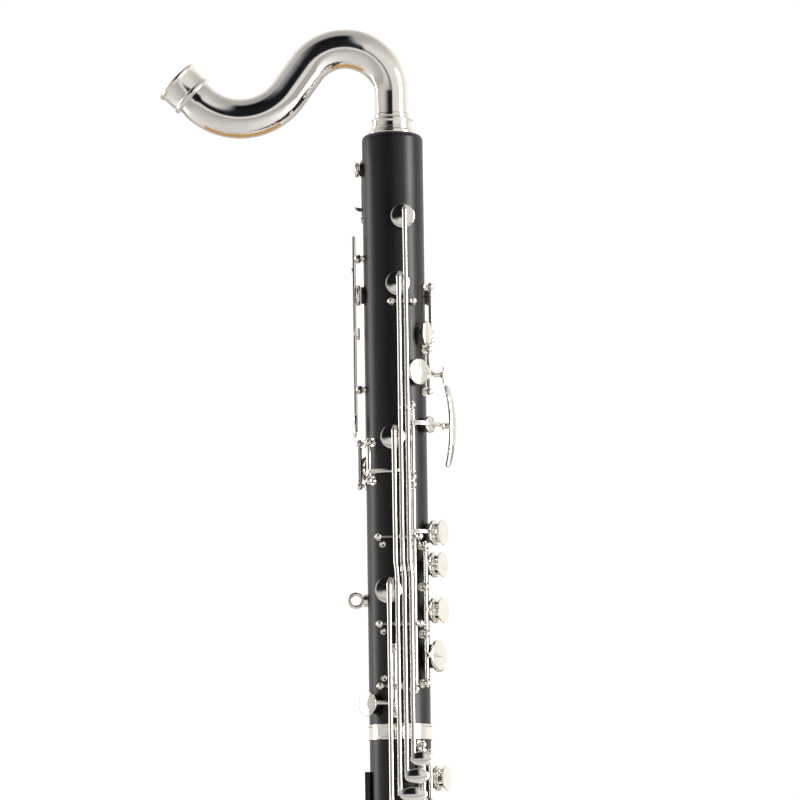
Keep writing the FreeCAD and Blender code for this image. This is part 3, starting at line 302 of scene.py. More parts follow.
class Piece:
    """A mesh under construction, in millimetres, that becomes one object."""

    def __init__(self, name, rest=None):
        self.name = name
        self.rest = rest or BORE_AXIS
        self.points = []
        self.faces = []

    def rings(self, rings, loop=False):
        """Joins rings of equal length; loop joins the last to the first."""
        start = len(self.points)
        count = len(rings[0])
        for ring in rings:
            self.points += [tuple(self.rest @ Vector(point)) for point in ring]
        pairs = len(rings) if loop else len(rings) - 1
        for first in range(pairs):
            second = (first + 1) % len(rings)
            for step in range(count):
                after = (step + 1) % count
                self.faces.append((start + first * count + step, start + first * count + after,
                                   start + second * count + after, start + second * count + step))
        if not loop:
            self.faces.append(tuple(start + step for step in reversed(range(count))))
            last = start + (len(rings) - 1) * count
            self.faces.append(tuple(last + step for step in range(count)))

    def lathe(self, place, outline, segments=40, stretch=(1.0, 1.0), loop=False):
        """Turns an outline of (radius, height) about the frame's Z axis."""
        rings = []
        for radius, height in outline:
            ring = []
            for step in range(segments):
                turn = 2 * math.pi * step / segments
                spot = Vector((radius * stretch[0] * math.cos(turn),
                               radius * stretch[1] * math.sin(turn), height))
                ring.append(place @ spot)
            rings.append(ring)
        self.rings(rings, loop)

    def swept(self, stations, section):
        """Sweeps a section through (centre, side way, up way, width, thickness) stations."""
        rings = []
        for centre, side, up, width, thickness in stations:
            rings.append([centre + side * (x * width) + up * (y * thickness) for x, y in section])
        self.rings(rings)

    def make(self, material, body, crease, *cad_nodes):
        """Makes the object; edges sharper than the crease angle stay sharp."""
        mesh = bpy.data.meshes.new(self.name)
        mesh.from_pydata([tuple(value * MM for value in point) for point in self.points], [],
                         self.faces)
        mesh.validate()
        mesh.materials.append(material)
        made = bpy.data.objects.new(self.name, mesh)
        bpy.context.scene.collection.objects.link(made)
        mesh.polygons.foreach_set("use_smooth", [True] * len(mesh.polygons))
        mesh.set_sharp_from_angle(angle=math.radians(crease))
        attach(made, body)
        if cad_nodes:
            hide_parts(*cad_nodes)
        return made


def rounded_section(corner):
    """A unit rectangle with round corners, as points around it."""
    steps = 3
    points = []
    centres = ((0.5 - corner, 0.5 - corner), (corner - 0.5, 0.5 - corner),
               (corner - 0.5, corner - 0.5), (0.5 - corner, corner - 0.5))
    for quarter, (x, y) in enumerate(centres):
        for step in range(steps + 1):
            turn = math.radians(90 * (quarter + step / steps))
            points.append((x + corner * math.cos(turn), y + corner * math.sin(turn)))
    return points


def crowned_section():
    """A unit bar that is nearly flat below and evenly domed above."""
    steps = 12
    points = []
    for step in range(steps + 1):
        turn = math.pi * step / steps
        points.append((0.5 * math.cos(turn), -0.22 + 0.72 * math.sin(turn) ** 0.9))
    return points + [(-0.44, -0.44), (-0.3, -0.5), (0.3, -0.5), (0.44, -0.44)]


BAR_SECTION = crowned_section()
ARM_SECTION = rounded_section(0.34)


def rounded_ends(stations):
    """Adds shrinking stations at both ends so that a bar ends in a round nose."""
    reach = 0.5
    steps = 4

    def nose(end, inner):
        centre, side, up, width, thickness = end
        way = (centre - inner[0]).normalized()
        rows = []
        for step in range(1, steps + 1):
            turn = math.radians(90 * step / steps)
            shrink = max(math.cos(turn), 0.08)
            shift = reach * min(width, thickness) * math.sin(turn)
            rows.append((centre + way * shift, side, up, width * (0.35 + 0.65 * shrink),
                         thickness * shrink))
        return rows
    first = nose(stations[0], stations[1])
    last = nose(stations[-1], stations[-2])
    return first[::-1] + stations + last


# --- parts of keys ---


def add_bar(piece, place, low, high, level, thickness, width, waist=1.0, section=BAR_SECTION,
            drift=None):
    """A lever's bar along the bore, narrower by waist at its middle, with round ends."""
    side, _, out = axes(place)
    steps = 36 if drift else 12
    rows = []
    for step in range(steps + 1):
        share = step / steps
        slim = 1 - (1 - waist) * math.sin(math.pi * share) ** 0.6
        height = low + (high - low) * share
        shift = drift(height) if drift else 0
        centre = place @ Vector((shift, height, level + thickness / 2))
        rows.append((centre, side, out, width * slim, thickness))
    piece.swept(rounded_ends(rows), section)


def add_block(piece, place, low, high, level, top, width):
    """A web between a bar and what it carries, with soft edges."""
    side, along, _ = axes(place)
    rows = []
    for share, swell in ((0, 1.12), (0.15, 1.0), (0.85, 1.0), (1, 1.12)):
        centre = place @ Vector((0, (low + high) / 2, level + (top - level) * share))
        rows.append((centre, side, along, width * swell, (high - low) * swell))
    piece.swept(rows, ARM_SECTION)


def add_arm(piece, start, end, height, level=ARM_LEVEL, tip=0.55):
    """An arm bent around the body from a hinge to a cup; it slims towards its tip."""
    steps = max(6, int(abs(end - start) / 4))
    rows = []
    for step in range(steps + 1):
        share = step / steps
        place = around(start + (end - start) * share, height, 0, level + ARM_THICKNESS / 2)
        _, along, out = axes(place)
        slim = 1 - (1 - tip) * share
        rows.append((place.translation, along, out, ARM_WIDTH * slim,
                     ARM_THICKNESS * (1.1 - 0.2 * share)))
    piece.swept(rounded_ends(rows), ARM_SECTION)


def tube_outline(length, collar=0.28, lip=1.1):
    """A hinge tube's outline: a bored tube with a slightly raised collar at each end."""
    radius = TUBE_RADIUS
    inner = ROD_RADIUS + 0.07
    half = 0.14
    raised = radius + collar
    return [(inner, 0), (radius, 0), (raised, half), (raised, lip - half), (radius, lip),
            (radius, length - lip), (raised, length - lip + half), (raised, length - half),
            (radius, length), (inner, length)]


def add_hinge(piece, angle, low, high, level=HINGE_LEVEL):
    gap = POST_HEAD + POST_GAP
    place = up_the_bore(angle, low + gap, level)
    piece.lathe(place, tube_outline(high - low - 2 * gap), 28, loop=True)


def add_cross_hinge(piece, place, level, half):
    start = across(place, level) @ Matrix.Translation((0, 0, -half))
    piece.lathe(start, tube_outline(2 * half, collar=0.15, lip=0.6), 28, loop=True)


def cup_outline(rim):
    """A pad cup: a skirt round the pad, a rolled shoulder, a shallow ring groove and a dome."""
    top = DOME_TOP - (0.0 if rim > 6.5 else 0.1)
    return [
        (rim - 0.55, PAD_LEVEL + 1.5), (rim - 0.45, PAD_LEVEL + 0.9), (rim - 0.1, PAD_LEVEL + 0.9),
        (rim, PAD_LEVEL + 1.15), (rim, CUP_TOP - 0.75), (rim - 0.12, CUP_TOP - 0.42),
        (rim - 0.4, CUP_TOP - 0.22), (rim * 0.88, CUP_TOP - 0.06), (rim * 0.84, CUP_TOP + 0.02),
        (rim * 0.62, CUP_TOP + 0.22), (rim * 0.36, CUP_TOP + 0.46), (rim * 0.2, CUP_TOP + 0.60),
        (0.02, top - 0.15)]


def pad_outline(radius):
    """A pad: a soft disc whose skin rolls over its edge, pressed by the tone hole's rim."""
    edge = radius - 0.7
    seat = radius * 0.68
    return [(0.02, PAD_LEVEL + 0.12), (seat * 0.5, PAD_LEVEL + 0.10), (seat - 0.7, PAD_LEVEL + 0.08),
            (seat, PAD_LEVEL + 0.22), (seat + 0.7, PAD_LEVEL + 0.06), (edge - 0.5, PAD_LEVEL + 0.12),
            (edge - 0.12, PAD_LEVEL + 0.4), (edge, PAD_LEVEL + 0.9), (edge - 0.1, PAD_LEVEL + 1.6),
            (edge - 0.4, PAD_LEVEL + PAD_THICKNESS)]


def plate_outline(radius):
    """A fingertip plate, dished in the middle, on a broad turned drum."""
    top = PLATE_LEVEL + PLATE_THICKNESS
    neck = PLATE_NECK_RADIUS
    return [(neck, CUP_TOP + 0.2), (neck - 0.5, CUP_TOP + 0.7), (neck - 0.6, PLATE_LEVEL - 0.6),
            (neck, PLATE_LEVEL - 0.1), (radius - 1.2, PLATE_LEVEL + 0.1),
            (radius - 0.3, PLATE_LEVEL + 0.35), (radius, PLATE_LEVEL + 0.75),
            (radius - 0.25, top - 0.15), (radius - 0.9, top), (radius * 0.62, top - 0.32),
            (radius * 0.3, top - 0.5), (0.02, top - 0.55)]


def add_oval(piece, place, half_long, half_wide, level, rise=2.6):
    """An oval touch: a soft dome over a thin, slightly cupped underside."""
    under = [(0.02, -0.5), (0.7, -0.75), (0.93, -0.55), (1.0, -0.1)]
    dome = [(0.985, 0.28), (0.9, 0.55), (0.72, 0.78), (0.45, 0.93), (0.2, 0.99), (0.02, 1.0)]
    outline = [(radius, level + drop) for radius, drop in under]
    outline += [(radius, level + rise * share) for radius, share in dome]
    piece.lathe(place, outline, 40, (half_long, half_wide))


def add_screw(piece, place, level, radius=1.1):
    """A small adjusting screw's head with a stepped rim."""
    piece.lathe(place, [(radius, level), (radius, level + 0.55), (radius - 0.2, level + 0.75),
                        (0.28, level + 0.75), (0.24, level + 0.5), (0.02, level + 0.5)], 20)


class Key:
    """A key under construction: its metal, its pads and its rest turn."""

    def __init__(self, name, rest=None):
        self.name = name
        self.metal = Piece(name + "_metal", rest)
        self.pads = Piece(name + "_pads", rest)

    def cup(self, angle, height, radius, offset=0.0, lift=0.0):
        place = around(angle, height, offset, lift)
        self.metal.lathe(place, cup_outline(radius), 48)
        self.pads.lathe(place, pad_outline(radius), 40)
        return place

    def plate(self, angle, height):
        place = self.cup(angle, height, PLATE_RADIUS)
        self.metal.lathe(place, plate_outline(PLATE_RADIUS), 48)

    def finish(self, *pad_nodes):
        self.metal.make(KEY_SILVER, self.name, KEY_CREASE, self.name)
        if self.pads.points:
            pads = self.pads.make(LEATHER, self.name, PAD_CREASE, *pad_nodes)


# --- posts, rods and springs ---


class Fittings:
    """The posts and needle springs of one wooden joint, under construction."""

    def __init__(self, joint):
        self.joint = joint
        self.posts = Piece(f"posts_{joint}_look")
        self.springs = Piece(f"needle_springs_{joint}")


UPPER = Fittings("upper")
LOWER = Fittings("lower")


def post(pieces, angle, height, offset=0.0, level=HINGE_LEVEL):
    """A turned post: a round foot with a bead, a waisted stem and a ball."""
    foot_radius = 2.0 if offset else 3.2
    inner = max(abs(offset) - foot_radius, 0)
    foot = math.sqrt(BODY_RADIUS ** 2 - inner ** 2)
    place = around(angle, height, offset)
    stem = 1.15
    outline = [(foot_radius, foot - 0.5), (foot_radius, foot + 0.45), (foot_radius - 0.25, foot + 0.7),
               (stem + 0.55, foot + 0.85), (stem + 0.2, foot + 1.15), (stem, foot + 1.7)]
    ball = POST_HEAD
    start = math.asin(min(1, (stem + 0.1) / ball))
    outline.append((stem, level - ball * math.cos(start) - 0.35))
    outline.append((stem + 0.35, level - ball * math.cos(start) - 0.2))
    steps = 12
    for step in range(steps + 1):
        turn = start + (math.pi - start) * step / steps
        outline.append((max(ball * math.sin(turn), 0.02), level - ball * math.cos(turn)))
    pieces.lathe(place, outline, 26)


def rod_end(pieces, place, way):
    """The slotted end of a pivot screw that shows on a post's ball."""
    facing = place if way > 0 else place @ Matrix.Rotation(math.pi, 4, "X")
    pieces.lathe(facing, [(1.35, POST_HEAD - 0.5), (1.35, POST_HEAD + 0.05), (1.15, POST_HEAD + 0.22),
                          (0.5, POST_HEAD + 0.22), (0.45, POST_HEAD + 0.02),
                          (0.02, POST_HEAD + 0.02)], 20)


def posts_up(fittings, angle, low, high, level=HINGE_LEVEL):
    """The two posts of a hinge along the bore, and the lower one's spring."""
    for height, way in ((low, -1), (high, 1)):
        post(fittings.posts, angle, height, level=level)
        rod_end(fittings.posts, up_the_bore(angle, height, level), way)
    needle(fittings.springs, angle, low, level)


def posts_across(angle, height, left, right, level):
    """The two posts of a hinge across the upper joint."""
    for offset, way in ((left, -1), (right, 1)):
        post(UPPER.posts, angle, height, offset, level)
        rod_end(UPPER.posts, across(around(angle, height, offset), level), way)


def spring_post(height, offset):
    """A short hollow-ended post beside a side key's rod, which holds a spring's end."""
    place = around(SIDE_ANGLE, height, offset)
    foot = math.sqrt(BODY_RADIUS ** 2 - (abs(offset) + 1.5) ** 2)
    UPPER.posts.lathe(place, [
        (1.5, foot - 0.3), (1.5, 23.6), (1.9, 24.1), (2.25, 24.6), (2.3, 25.3), (2.1, 25.7),
        (1.6, 25.8), (1.25, 25.5), (1.1, 24.6), (0.02, 24.5)], 28)


def needle(springs, angle, height, level):
    """A needle spring that leans from its post along the hinge tube."""
    length = 13
    lean = 5.5
    start = around(angle + lean, height, 0, level - 1.2)
    finish = around(angle + lean * 0.8, height + length, 0, level - 2.0)
    side, _, out = axes(start)
    steps = 6
    rows = []
    for step in range(steps + 1):
        share = step / steps
        centre = start.translation.lerp(finish.translation, share)
        size = 0.62 - 0.3 * share
        rows.append((centre, side, out, size, size))
    springs.swept(rows, rounded_section(0.49))


# --- side keys ---

SIDE_OFFSET = {1: 8.0, 2: 3.2, 3: -1.6, 4: -6.4}
SIDE_TOUCH = {1: 483, 2: 471, 3: 458.3, 4: 445.5}
SIDE_TOUCH_SHIFT = {1: 5.6, 2: 7.0, 3: 9.2, 4: 9.6}
SIDE_TOUCH_RADIUS = {1: 8.0, 2: 8.8, 3: 9.8, 4: 9.8}
SIDE_TOUCH_HALF_WIDTH = 5.4
SIDE_CUP = {1: 864.5, 2: 817, 3: 708.7, 4: 601.3}
SIDE_CUP_OFFSET = {1: 6.6, 2: 2.4, 3: -2.6, 4: -7.0}
SIDE_PAD_ROD = 804
SIDE_MIDDLE_ROD = 638.4
SIDE_TOUCH_ROD = 577.5
SIDE_FOURTH_ROD = 534.2
SIDE_LOW_LINK = 616
SIDE_HIGH_LINK = 725
SIDE_LINK_REACH = 2.6
SIDE_SET_OVER = 1.0
SIDE_LEFT_POST = -13.2
SIDE_RIGHT_POST = 15.1


def side_drift(height):
    """The lower ends of the long levers are set a little to one side, past an S bend."""
    share = min(max((height - SIDE_LOW_LINK + 5) / 10, 0), 1)
    return SIDE_SET_OVER * (1 - share * share * (3 - 2 * share))


def side_place(number, height=0.0):
    drift = side_drift(height) if height and number < 4 else 0
    return around(SIDE_ANGLE, height, SIDE_OFFSET[number] + drift)


def side_bar(key, number, low, high):
    add_bar(key.metal, side_place(number), low, high, SIDE_BAR_LEVEL, SIDE_BAR_THICKNESS,
            SIDE_BAR_WIDTH, 0.9, drift=side_drift if number < 4 else None)


def side_hanger(key, number, height):
    add_block(key.metal, side_place(number, height), -1.9, 1.9, SIDE_ROD_LEVEL + 0.9,
              SIDE_BAR_LEVEL + 0.5, SIDE_BAR_WIDTH * 0.8)
    add_cross_hinge(key.metal, side_place(number, height), SIDE_ROD_LEVEL,
                    SIDE_BAR_WIDTH / 2 + 0.3)


def side_tongue(key, number, root, tip):
    place = side_place(number)
    low, high = min(root, tip), max(root, tip)
    add_bar(key.metal, place, low, high, SIDE_TONGUE_LEVEL, 1.8, SIDE_BAR_WIDTH * 0.9)
    step = math.copysign(2.0, tip - root)
    low, high = min(root, root + step), max(root, root + step)
    add_block(key.metal, place, low, high, SIDE_TONGUE_LEVEL + 0.2, SIDE_BAR_LEVEL + 1,
              SIDE_BAR_WIDTH * 0.9)


def side_cup(key, number):
    radius = 9.2 if number == 4 else 8.5
    height = SIDE_CUP[number]
    key.cup(SIDE_ANGLE, height, radius, SIDE_CUP_OFFSET[number])
    place = side_place(number)
    add_block(key.metal, place, height - 3.4, height + 3.4, CUP_TOP + 0.3, SIDE_BAR_LEVEL + 1,
              SIDE_BAR_WIDTH * 0.72)
    side, _, out = axes(place)
    nose_length = 6.5
    nose_drop = 2.2
    rows = []
    for share, width in ((0, 1.0), (0.4, 1.15), (0.75, 0.6), (1, 0.12)):
        centre = place @ Vector((0, height + 1 + nose_length * share,
                                 SIDE_BAR_LEVEL + 1 - nose_drop * share))
        rows.append((centre, side, out, SIDE_BAR_WIDTH * width,
                     SIDE_BAR_THICKNESS * (1 - 0.5 * share)))
    key.metal.swept(rows, BAR_SECTION)


def side_touch(key, number):
    height = SIDE_TOUCH[number]
    place = shifted(side_place(number, height), SIDE_TOUCH_SHIFT[number], 0, 0)
    add_oval(key.metal, place, SIDE_TOUCH_RADIUS[number], SIDE_TOUCH_HALF_WIDTH,
             SIDE_BAR_LEVEL + 1.2)


def three_stage_side_key(number):
    """A touch lever that moves a middle lever, which moves the key with the pad."""
    low_end = SIDE_LOW_LINK - SIDE_LINK_REACH
    high_end = SIDE_HIGH_LINK + SIDE_LINK_REACH
    touch = Key(f"side_{number}_touch_lever")
    side_bar(touch, number, SIDE_TOUCH[number], low_end)
    side_hanger(touch, number, SIDE_TOUCH_ROD)
    side_tongue(touch, number, low_end - 2, SIDE_LOW_LINK + SIDE_LINK_REACH)
    side_touch(touch, number)
    touch.finish()
    middle = Key(f"side_{number}_middle_lever")
    side_bar(middle, number, low_end + 0.9, high_end - 0.9)
    side_hanger(middle, number, SIDE_MIDDLE_ROD)
    place = side_place(number, SIDE_LOW_LINK + 3.2)
    add_screw(middle.metal, place, SIDE_BAR_LEVEL + SIDE_BAR_THICKNESS - 0.15)
    middle.finish()
    pad = Key(f"side_{number}_pad_key")
    side_bar(pad, number, high_end, SIDE_CUP[number] + 3)
    side_hanger(pad, number, SIDE_PAD_ROD)
    side_tongue(pad, number, high_end + 2, SIDE_HIGH_LINK - SIDE_LINK_REACH)
    side_cup(pad, number)
    pad.finish(f"side_{number}_pad")


def one_piece_side_key(number, rod):
    key = Key(f"side_{number}_key")
    side_bar(key, number, SIDE_TOUCH[number], SIDE_CUP[number] + 3)
    side_hanger(key, number, rod)
    side_cup(key, number)
    side_touch(key, number)
    key.finish(f"side_{number}_pad")


def side_keys():
    three_stage_side_key(1)
    three_stage_side_key(2)
    one_piece_side_key(3, SIDE_TOUCH_ROD)
    one_piece_side_key(4, SIDE_FOURTH_ROD)
    rods = ((SIDE_PAD_ROD, -2.2, 13.0), (SIDE_MIDDLE_ROD, SIDE_LEFT_POST, SIDE_RIGHT_POST),
            (SIDE_TOUCH_ROD, SIDE_LEFT_POST, SIDE_RIGHT_POST),
            (SIDE_FOURTH_ROD, SIDE_LEFT_POST, 2.2))
    for rod, left, right in rods:
        posts_across(SIDE_ANGLE, rod, left, right, SIDE_ROD_LEVEL)
    for rod, step in ((SIDE_MIDDLE_ROD, -5.2), (SIDE_TOUCH_ROD, -5.2), (SIDE_FOURTH_ROD, 5.6)):
        spring_post(rod + step, SIDE_LEFT_POST + 2.6)


# --- keys on long hinges ---

LH_A = -64
LH_B = -43
LH_PLATE = -18


def open_key(name, angle, level=HINGE_LEVEL, way=-1):
    """A key whose cup stands open at rest."""
    return Key(name, rest_turn(angle, level, way * OPEN_TURN))


def posted_key(fittings, name, angle, low, high, way=0, level=HINGE_LEVEL):
    """A key on a hinge with posts of its own; way tells how it stands open, and 0 is closed."""
    key = open_key(name, angle, level, way)
    add_hinge(key.metal, angle, low, high, level)
    posts_up(fittings, angle, low, high, level)
    return key


def ribs(piece, place, radius, count=5):
    """Low radial ribs that stiffen a cup."""
    for number in range(count):
        spoke = place @ Matrix.Rotation(2 * math.pi * number / count, 4, "Z")
        _, along, out = axes(spoke)
        rows = []
        for share, width in ((0.12, 1.3), (0.5, 0.9), (0.86, 0.5)):
            centre = spoke @ Vector((radius * share, 0, DOME_TOP + 0.05 - 0.75 * share))
            rows.append((centre, along, out, width, 0.7))
        piece.swept(rows, ARM_SECTION)


def add_riser(key, angle, height, half=1.6, width=ARM_WIDTH * 0.9):
    """A web from a hinge tube up to an arm that passes over other keys."""
    add_block(key.metal, around(angle, 0), height - half, height + half, HINGE_LEVEL + 0.9,
              HIGH_ARM_LEVEL + 0.8, width)


def left_hand_plates():
    """Three fingertip plates; the first one's tube runs past the other two."""
    first_height = 642.5
    first = posted_key(UPPER, "lh_plate_1", LH_A, 532, 675, -1)
    add_arm(first.metal, LH_A, LH_PLATE, first_height)
    first.plate(LH_PLATE, first_height)
    first.finish()
    for name, height, low, high in (("lh_plate_2", 620, 604, 633), ("lh_plate_3", 588, 571, 604)):
        key = open_key(name, LH_B)
        add_hinge(key.metal, LH_B, low, high)
        add_arm(key.metal, LH_B, LH_PLATE, height)
        key.plate(LH_PLATE, height)
        key.finish()


def cs_key():
    """The key below the plates, with a large raised cup, and the posts that three keys share."""
    angle = -19.5
    height = 556
    key = open_key("cs_key", LH_B)
    add_hinge(key.metal, LH_B, 536.5, 571)
    add_arm(key.metal, LH_B, angle, height, HIGH_ARM_LEVEL)
    add_riser(key, LH_B, height)
    key.cup(angle, height, 11.3, lift=2.8)
    key.finish("cs_pad")
    posts_up(UPPER, LH_B, 536.5, 633)
    for shared in (571, 604):
        post(UPPER.posts, LH_B, shared)
        needle(UPPER.springs, LH_B, shared, HINGE_LEVEL)


def bow_rows(stand):
    """The stations of the bowed touch, broad at its middle and slim at its ends."""
    radius = 79.2
    half_turn = 20.5
    steps = 24
    plate = shifted(stand, 0, 0, 38) @ Matrix.Rotation(math.radians(-32), 4, "Y")
    side = axes(plate)[0]
    matrix = plate.to_3x3()
    rows = []
    for step in range(steps + 1):
        from_middle = 2 * step / steps - 1
        turn = math.radians(half_turn * from_middle)
        out = matrix @ Vector((0, math.sin(turn), math.cos(turn)))
        centre = plate @ Vector((0, radius * math.sin(turn), radius * math.cos(turn) - 80))
        swell = 1 - 0.42 * abs(from_middle) ** 1.6
        rows.append((centre, side, out, 7.0 * swell, 2.6))
    return rounded_ends(rows)


def first_finger_key():
    """The tall bowed touch for the side of the left first finger."""
    height = 718.3
    plate_angle = -2
    key = posted_key(UPPER, "first_finger_key", LH_A, 680.6, 731, -1)
    add_arm(key.metal, LH_A, plate_angle, height, HIGH_ARM_LEVEL, 0.8)
    add_riser(key, LH_A, height, 1.9, ARM_WIDTH)
    place = key.cup(-28, height, SMALL_CUP)
    key.metal.lathe(place, [(1.7, DOME_TOP - 0.3), (1.4, DOME_TOP + 0.5),
                            (1.5, HIGH_ARM_LEVEL + 0.5)], 24)
    stand = around(plate_angle, height)
    key.metal.lathe(stand, [(3.2, HIGH_ARM_LEVEL + 0.3), (2.0, HIGH_ARM_LEVEL + 1.8),
                            (1.9, 34.5), (2.8, 37.0)], 28)
    key.metal.swept(bow_rows(stand), ARM_SECTION)
    key.finish()


def throat_gs_key():
    """A ribbed cup and a small round touch on either side of a short hinge."""
    angle, cup_angle, touch_angle = -24, -50, 2
    height = 755
    radius = 9.2
    key = posted_key(UPPER, "throat_gs_key", angle, 742, 772)
    add_arm(key.metal, angle, cup_angle, height)
    add_arm(key.metal, angle, touch_angle, height)
    ribs(key.metal, key.cup(cup_angle, height, radius), radius, 4)
    touch = around(touch_angle, height)
    key.metal.lathe(touch, [(2.4, ARM_LEVEL + 0.4), (1.6, ARM_LEVEL + 2.0), (1.6, 31.6),
                            (2.6, 32.7)], 24)
    key.metal.lathe(touch, [(0.02, 32.7), (5.2, 32.8), (6.3, 33.2), (6.5, 33.6), (6.2, 34.05),
                            (5.4, 34.2), (3.0, 33.95), (0.02, 33.8)], 36)
    key.finish("throat_gs_pad")


def trill_vent_key():
    angle, cup_angle, touch_angle = -10, 18, -34
    height = 811
    key = posted_key(UPPER, "trill_vent_key", angle, 779, 817)
    add_arm(key.metal, angle, cup_angle, height)
    key.cup(cup_angle, height, SMALL_CUP)
    add_arm(key.metal, angle, touch_angle, 785)
    add_oval(key.metal, around(touch_angle, 782.5), 5.6, 8.8, ARM_LEVEL + 0.9, 1.3)
    key.finish()


def back_lever(name, rod, low, high):
    key = Key(name)
    place = around(BACK_ANGLE, 0)
    add_bar(key.metal, place, low, high, BACK_BAR_LEVEL, BACK_BAR_THICKNESS, BACK_BAR_WIDTH, 0.82,
            ARM_SECTION)
    add_block(key.metal, place, rod - 2, rod + 2, BACK_ROD_LEVEL + 0.9, BACK_BAR_LEVEL + 0.8,
              BACK_BAR_WIDTH * 0.7)
    add_cross_hinge(key.metal, around(BACK_ANGLE, rod), BACK_ROD_LEVEL, BACK_BAR_WIDTH / 2)
    posts_across(BACK_ANGLE, rod, -BACK_POST_OFFSET, BACK_POST_OFFSET, BACK_ROD_LEVEL)
    return key


def back_cup(key, height, radius):
    key.cup(BACK_ANGLE, height, radius)
    add_block(key.metal, around(BACK_ANGLE, 0), height - 2.4, height + 2.4, DOME_TOP - 0.5,
              BACK_BAR_LEVEL + 1, BACK_BAR_WIDTH * 0.7)


def back_tongue(key, low, high):
    place = around(BACK_ANGLE, 0)
    add_bar(key.metal, place, low, high, BACK_BAR_LEVEL - 2.4, 1.8, BACK_BAR_WIDTH * 0.9)
    add_block(key.metal, place, low, low + 2, BACK_BAR_LEVEL - 2.2, BACK_BAR_LEVEL + 1,
              BACK_BAR_WIDTH * 0.8)


def back_keys():
    """The thumb's register key and the vent key that its upper end lifts."""
    register = back_lever("register_key", 745, 716, 783)
    back_tongue(register, 781, 788)
    add_oval(register.metal, around(BACK_ANGLE, 720), 6, 9, BACK_BAR_LEVEL + 1.4, 2.4)
    register.finish()
    low_vent = back_lever("low_vent_key", 838, 784, 853)
    back_cup(low_vent, 812, 7.6)
    add_screw(low_vent.metal, around(BACK_ANGLE, 830), BACK_BAR_LEVEL + BACK_BAR_THICKNESS - 0.1, 1.8)
    low_vent.finish()


def high_vent_key():
    """The topmost vent's key, with a second, shorter arm towards the back levers."""
    angle = 146
    height = 901.5
    key = posted_key(UPPER, "high_vent_key", angle, 868, 908)
    add_arm(key.metal, angle, BACK_ANGLE, height)
    key.cup(BACK_ANGLE, height, 5.6)
    add_arm(key.metal, angle, 168, 875)
    key.finish()


def link_key():
    angle = 222
    key = posted_key(UPPER, "register_link_key", angle, 679, 706)
    add_arm(key.metal, angle, 272, 685, tip=0.75)
    key.finish()


def thumb_key():
    angle, plate_angle = 178, 122
    height = 692
    key = posted_key(UPPER, "thumb_key", angle, 677, 707, 1)
    add_arm(key.metal, angle, plate_angle, height)
    key.plate(plate_angle, height)
    key.finish()


def ring_side_key():
    """The cup just above the joint ring, on a hinge that lies low."""
    level = 24.4
    angle, cup_angle, screw_angle = -98, -147, -120
    height = 523
    key = posted_key(UPPER, "ring_side_key", angle, 515.5, 561, 1, level)
    add_arm(key.metal, angle, cup_angle, height, CUP_LEVEL)
    key.cup(cup_angle, height, 9)
    add_screw(key.metal, around(screw_angle, height), CUP_LEVEL + ARM_THICKNESS - 0.1)
    key.finish("ring_side_pad")


def pinky_touch(key, angle, to_angle, height, half_long):
    add_arm(key.metal, angle, to_angle, height, HIGH_ARM_LEVEL, tip=0.8)
    add_riser(key, angle, height)
    add_oval(key.metal, around(to_angle, height), half_long, 5.2, HIGH_ARM_LEVEL + TOUCH_RISE)


def left_pinky_keys():
    for number in range(3):
        angle = 92 + 17 * number
        key = posted_key(UPPER, f"left_pinky_lever_{number + 1}", angle, 518, 583)
        pinky_touch(key, angle, 66, 545 + 13 * number, 7.6)
        key.finish()


def right_hand_plates():
    """Three fingertip plates in a row, with a shared post between neighbours."""
    angle, plate_angle = -38, -13
    first_height = 471
    spacing = 34
    for number in range(3):
        height = first_height - spacing * number
        low = height - spacing / 2
        key = open_key(f"rh_plate_{number + 1}", angle)
        add_hinge(key.metal, angle, low, low + spacing)
        add_arm(key.metal, angle, plate_angle, height)
        key.plate(plate_angle, height)
        key.finish()
        post(LOWER.posts, angle, low)
        needle(LOWER.springs, angle, low, HINGE_LEVEL)
    top = first_height + spacing / 2
    post(LOWER.posts, angle, top)
    rod_end(LOWER.posts, up_the_bore(angle, top, HINGE_LEVEL), 1)


def low_g_key():
    angle, cup_angle = -53, -5
    height = 366
    radius = 12
    key = posted_key(LOWER, "low_g_key", angle, 352, 493.5, -1)
    add_arm(key.metal, angle, cup_angle, height, BIG_ARM_LEVEL)
    ribs(key.metal, key.cup(cup_angle, height, radius), radius)
    key.finish()


def low_keys():
    """The four lowest cups, on tubes side by side, with touches for the right little finger."""
    cups = (("low_f_key", 283), ("low_e_key", 238), ("low_ef_key", 190), ("low_fs_key", 318))
    reach = 58
    radius = 12.5
    for number, (name, height) in enumerate(cups):
        angle = -96 - 16 * number
        closed = name == "low_fs_key"
        cup_angle = angle - reach if closed else angle + reach
        key = posted_key(LOWER, name, angle, height - 15, 350, 0 if closed else -1)
        add_arm(key.metal, angle, cup_angle, height, BIG_ARM_LEVEL)
        ribs(key.metal, key.cup(cup_angle, height, radius), radius)
        pinky_touch(key, angle, -68, 298 + 12.5 * number, 8.4)
        key.finish()


# --- neck and bell ---


def sweep_tube(piece, stations, wall, segments=72):
    """A bent tube through (centre, way, radius) stations that stay in the XZ plane."""
    outer = []
    inner = []
    for centre, way, radius in stations:
        up = way.cross(LEFT).normalized()
        for rings, size in ((outer, radius), (inner, radius - wall)):
            ring = []
            for step in range(segments):
                turn = 2 * math.pi * step / segments
                ring.append(centre + LEFT * (size * math.cos(turn)) + up * (size * math.sin(turn)))
            rings.append(ring)
    piece.rings(outer + inner[::-1], loop=True)


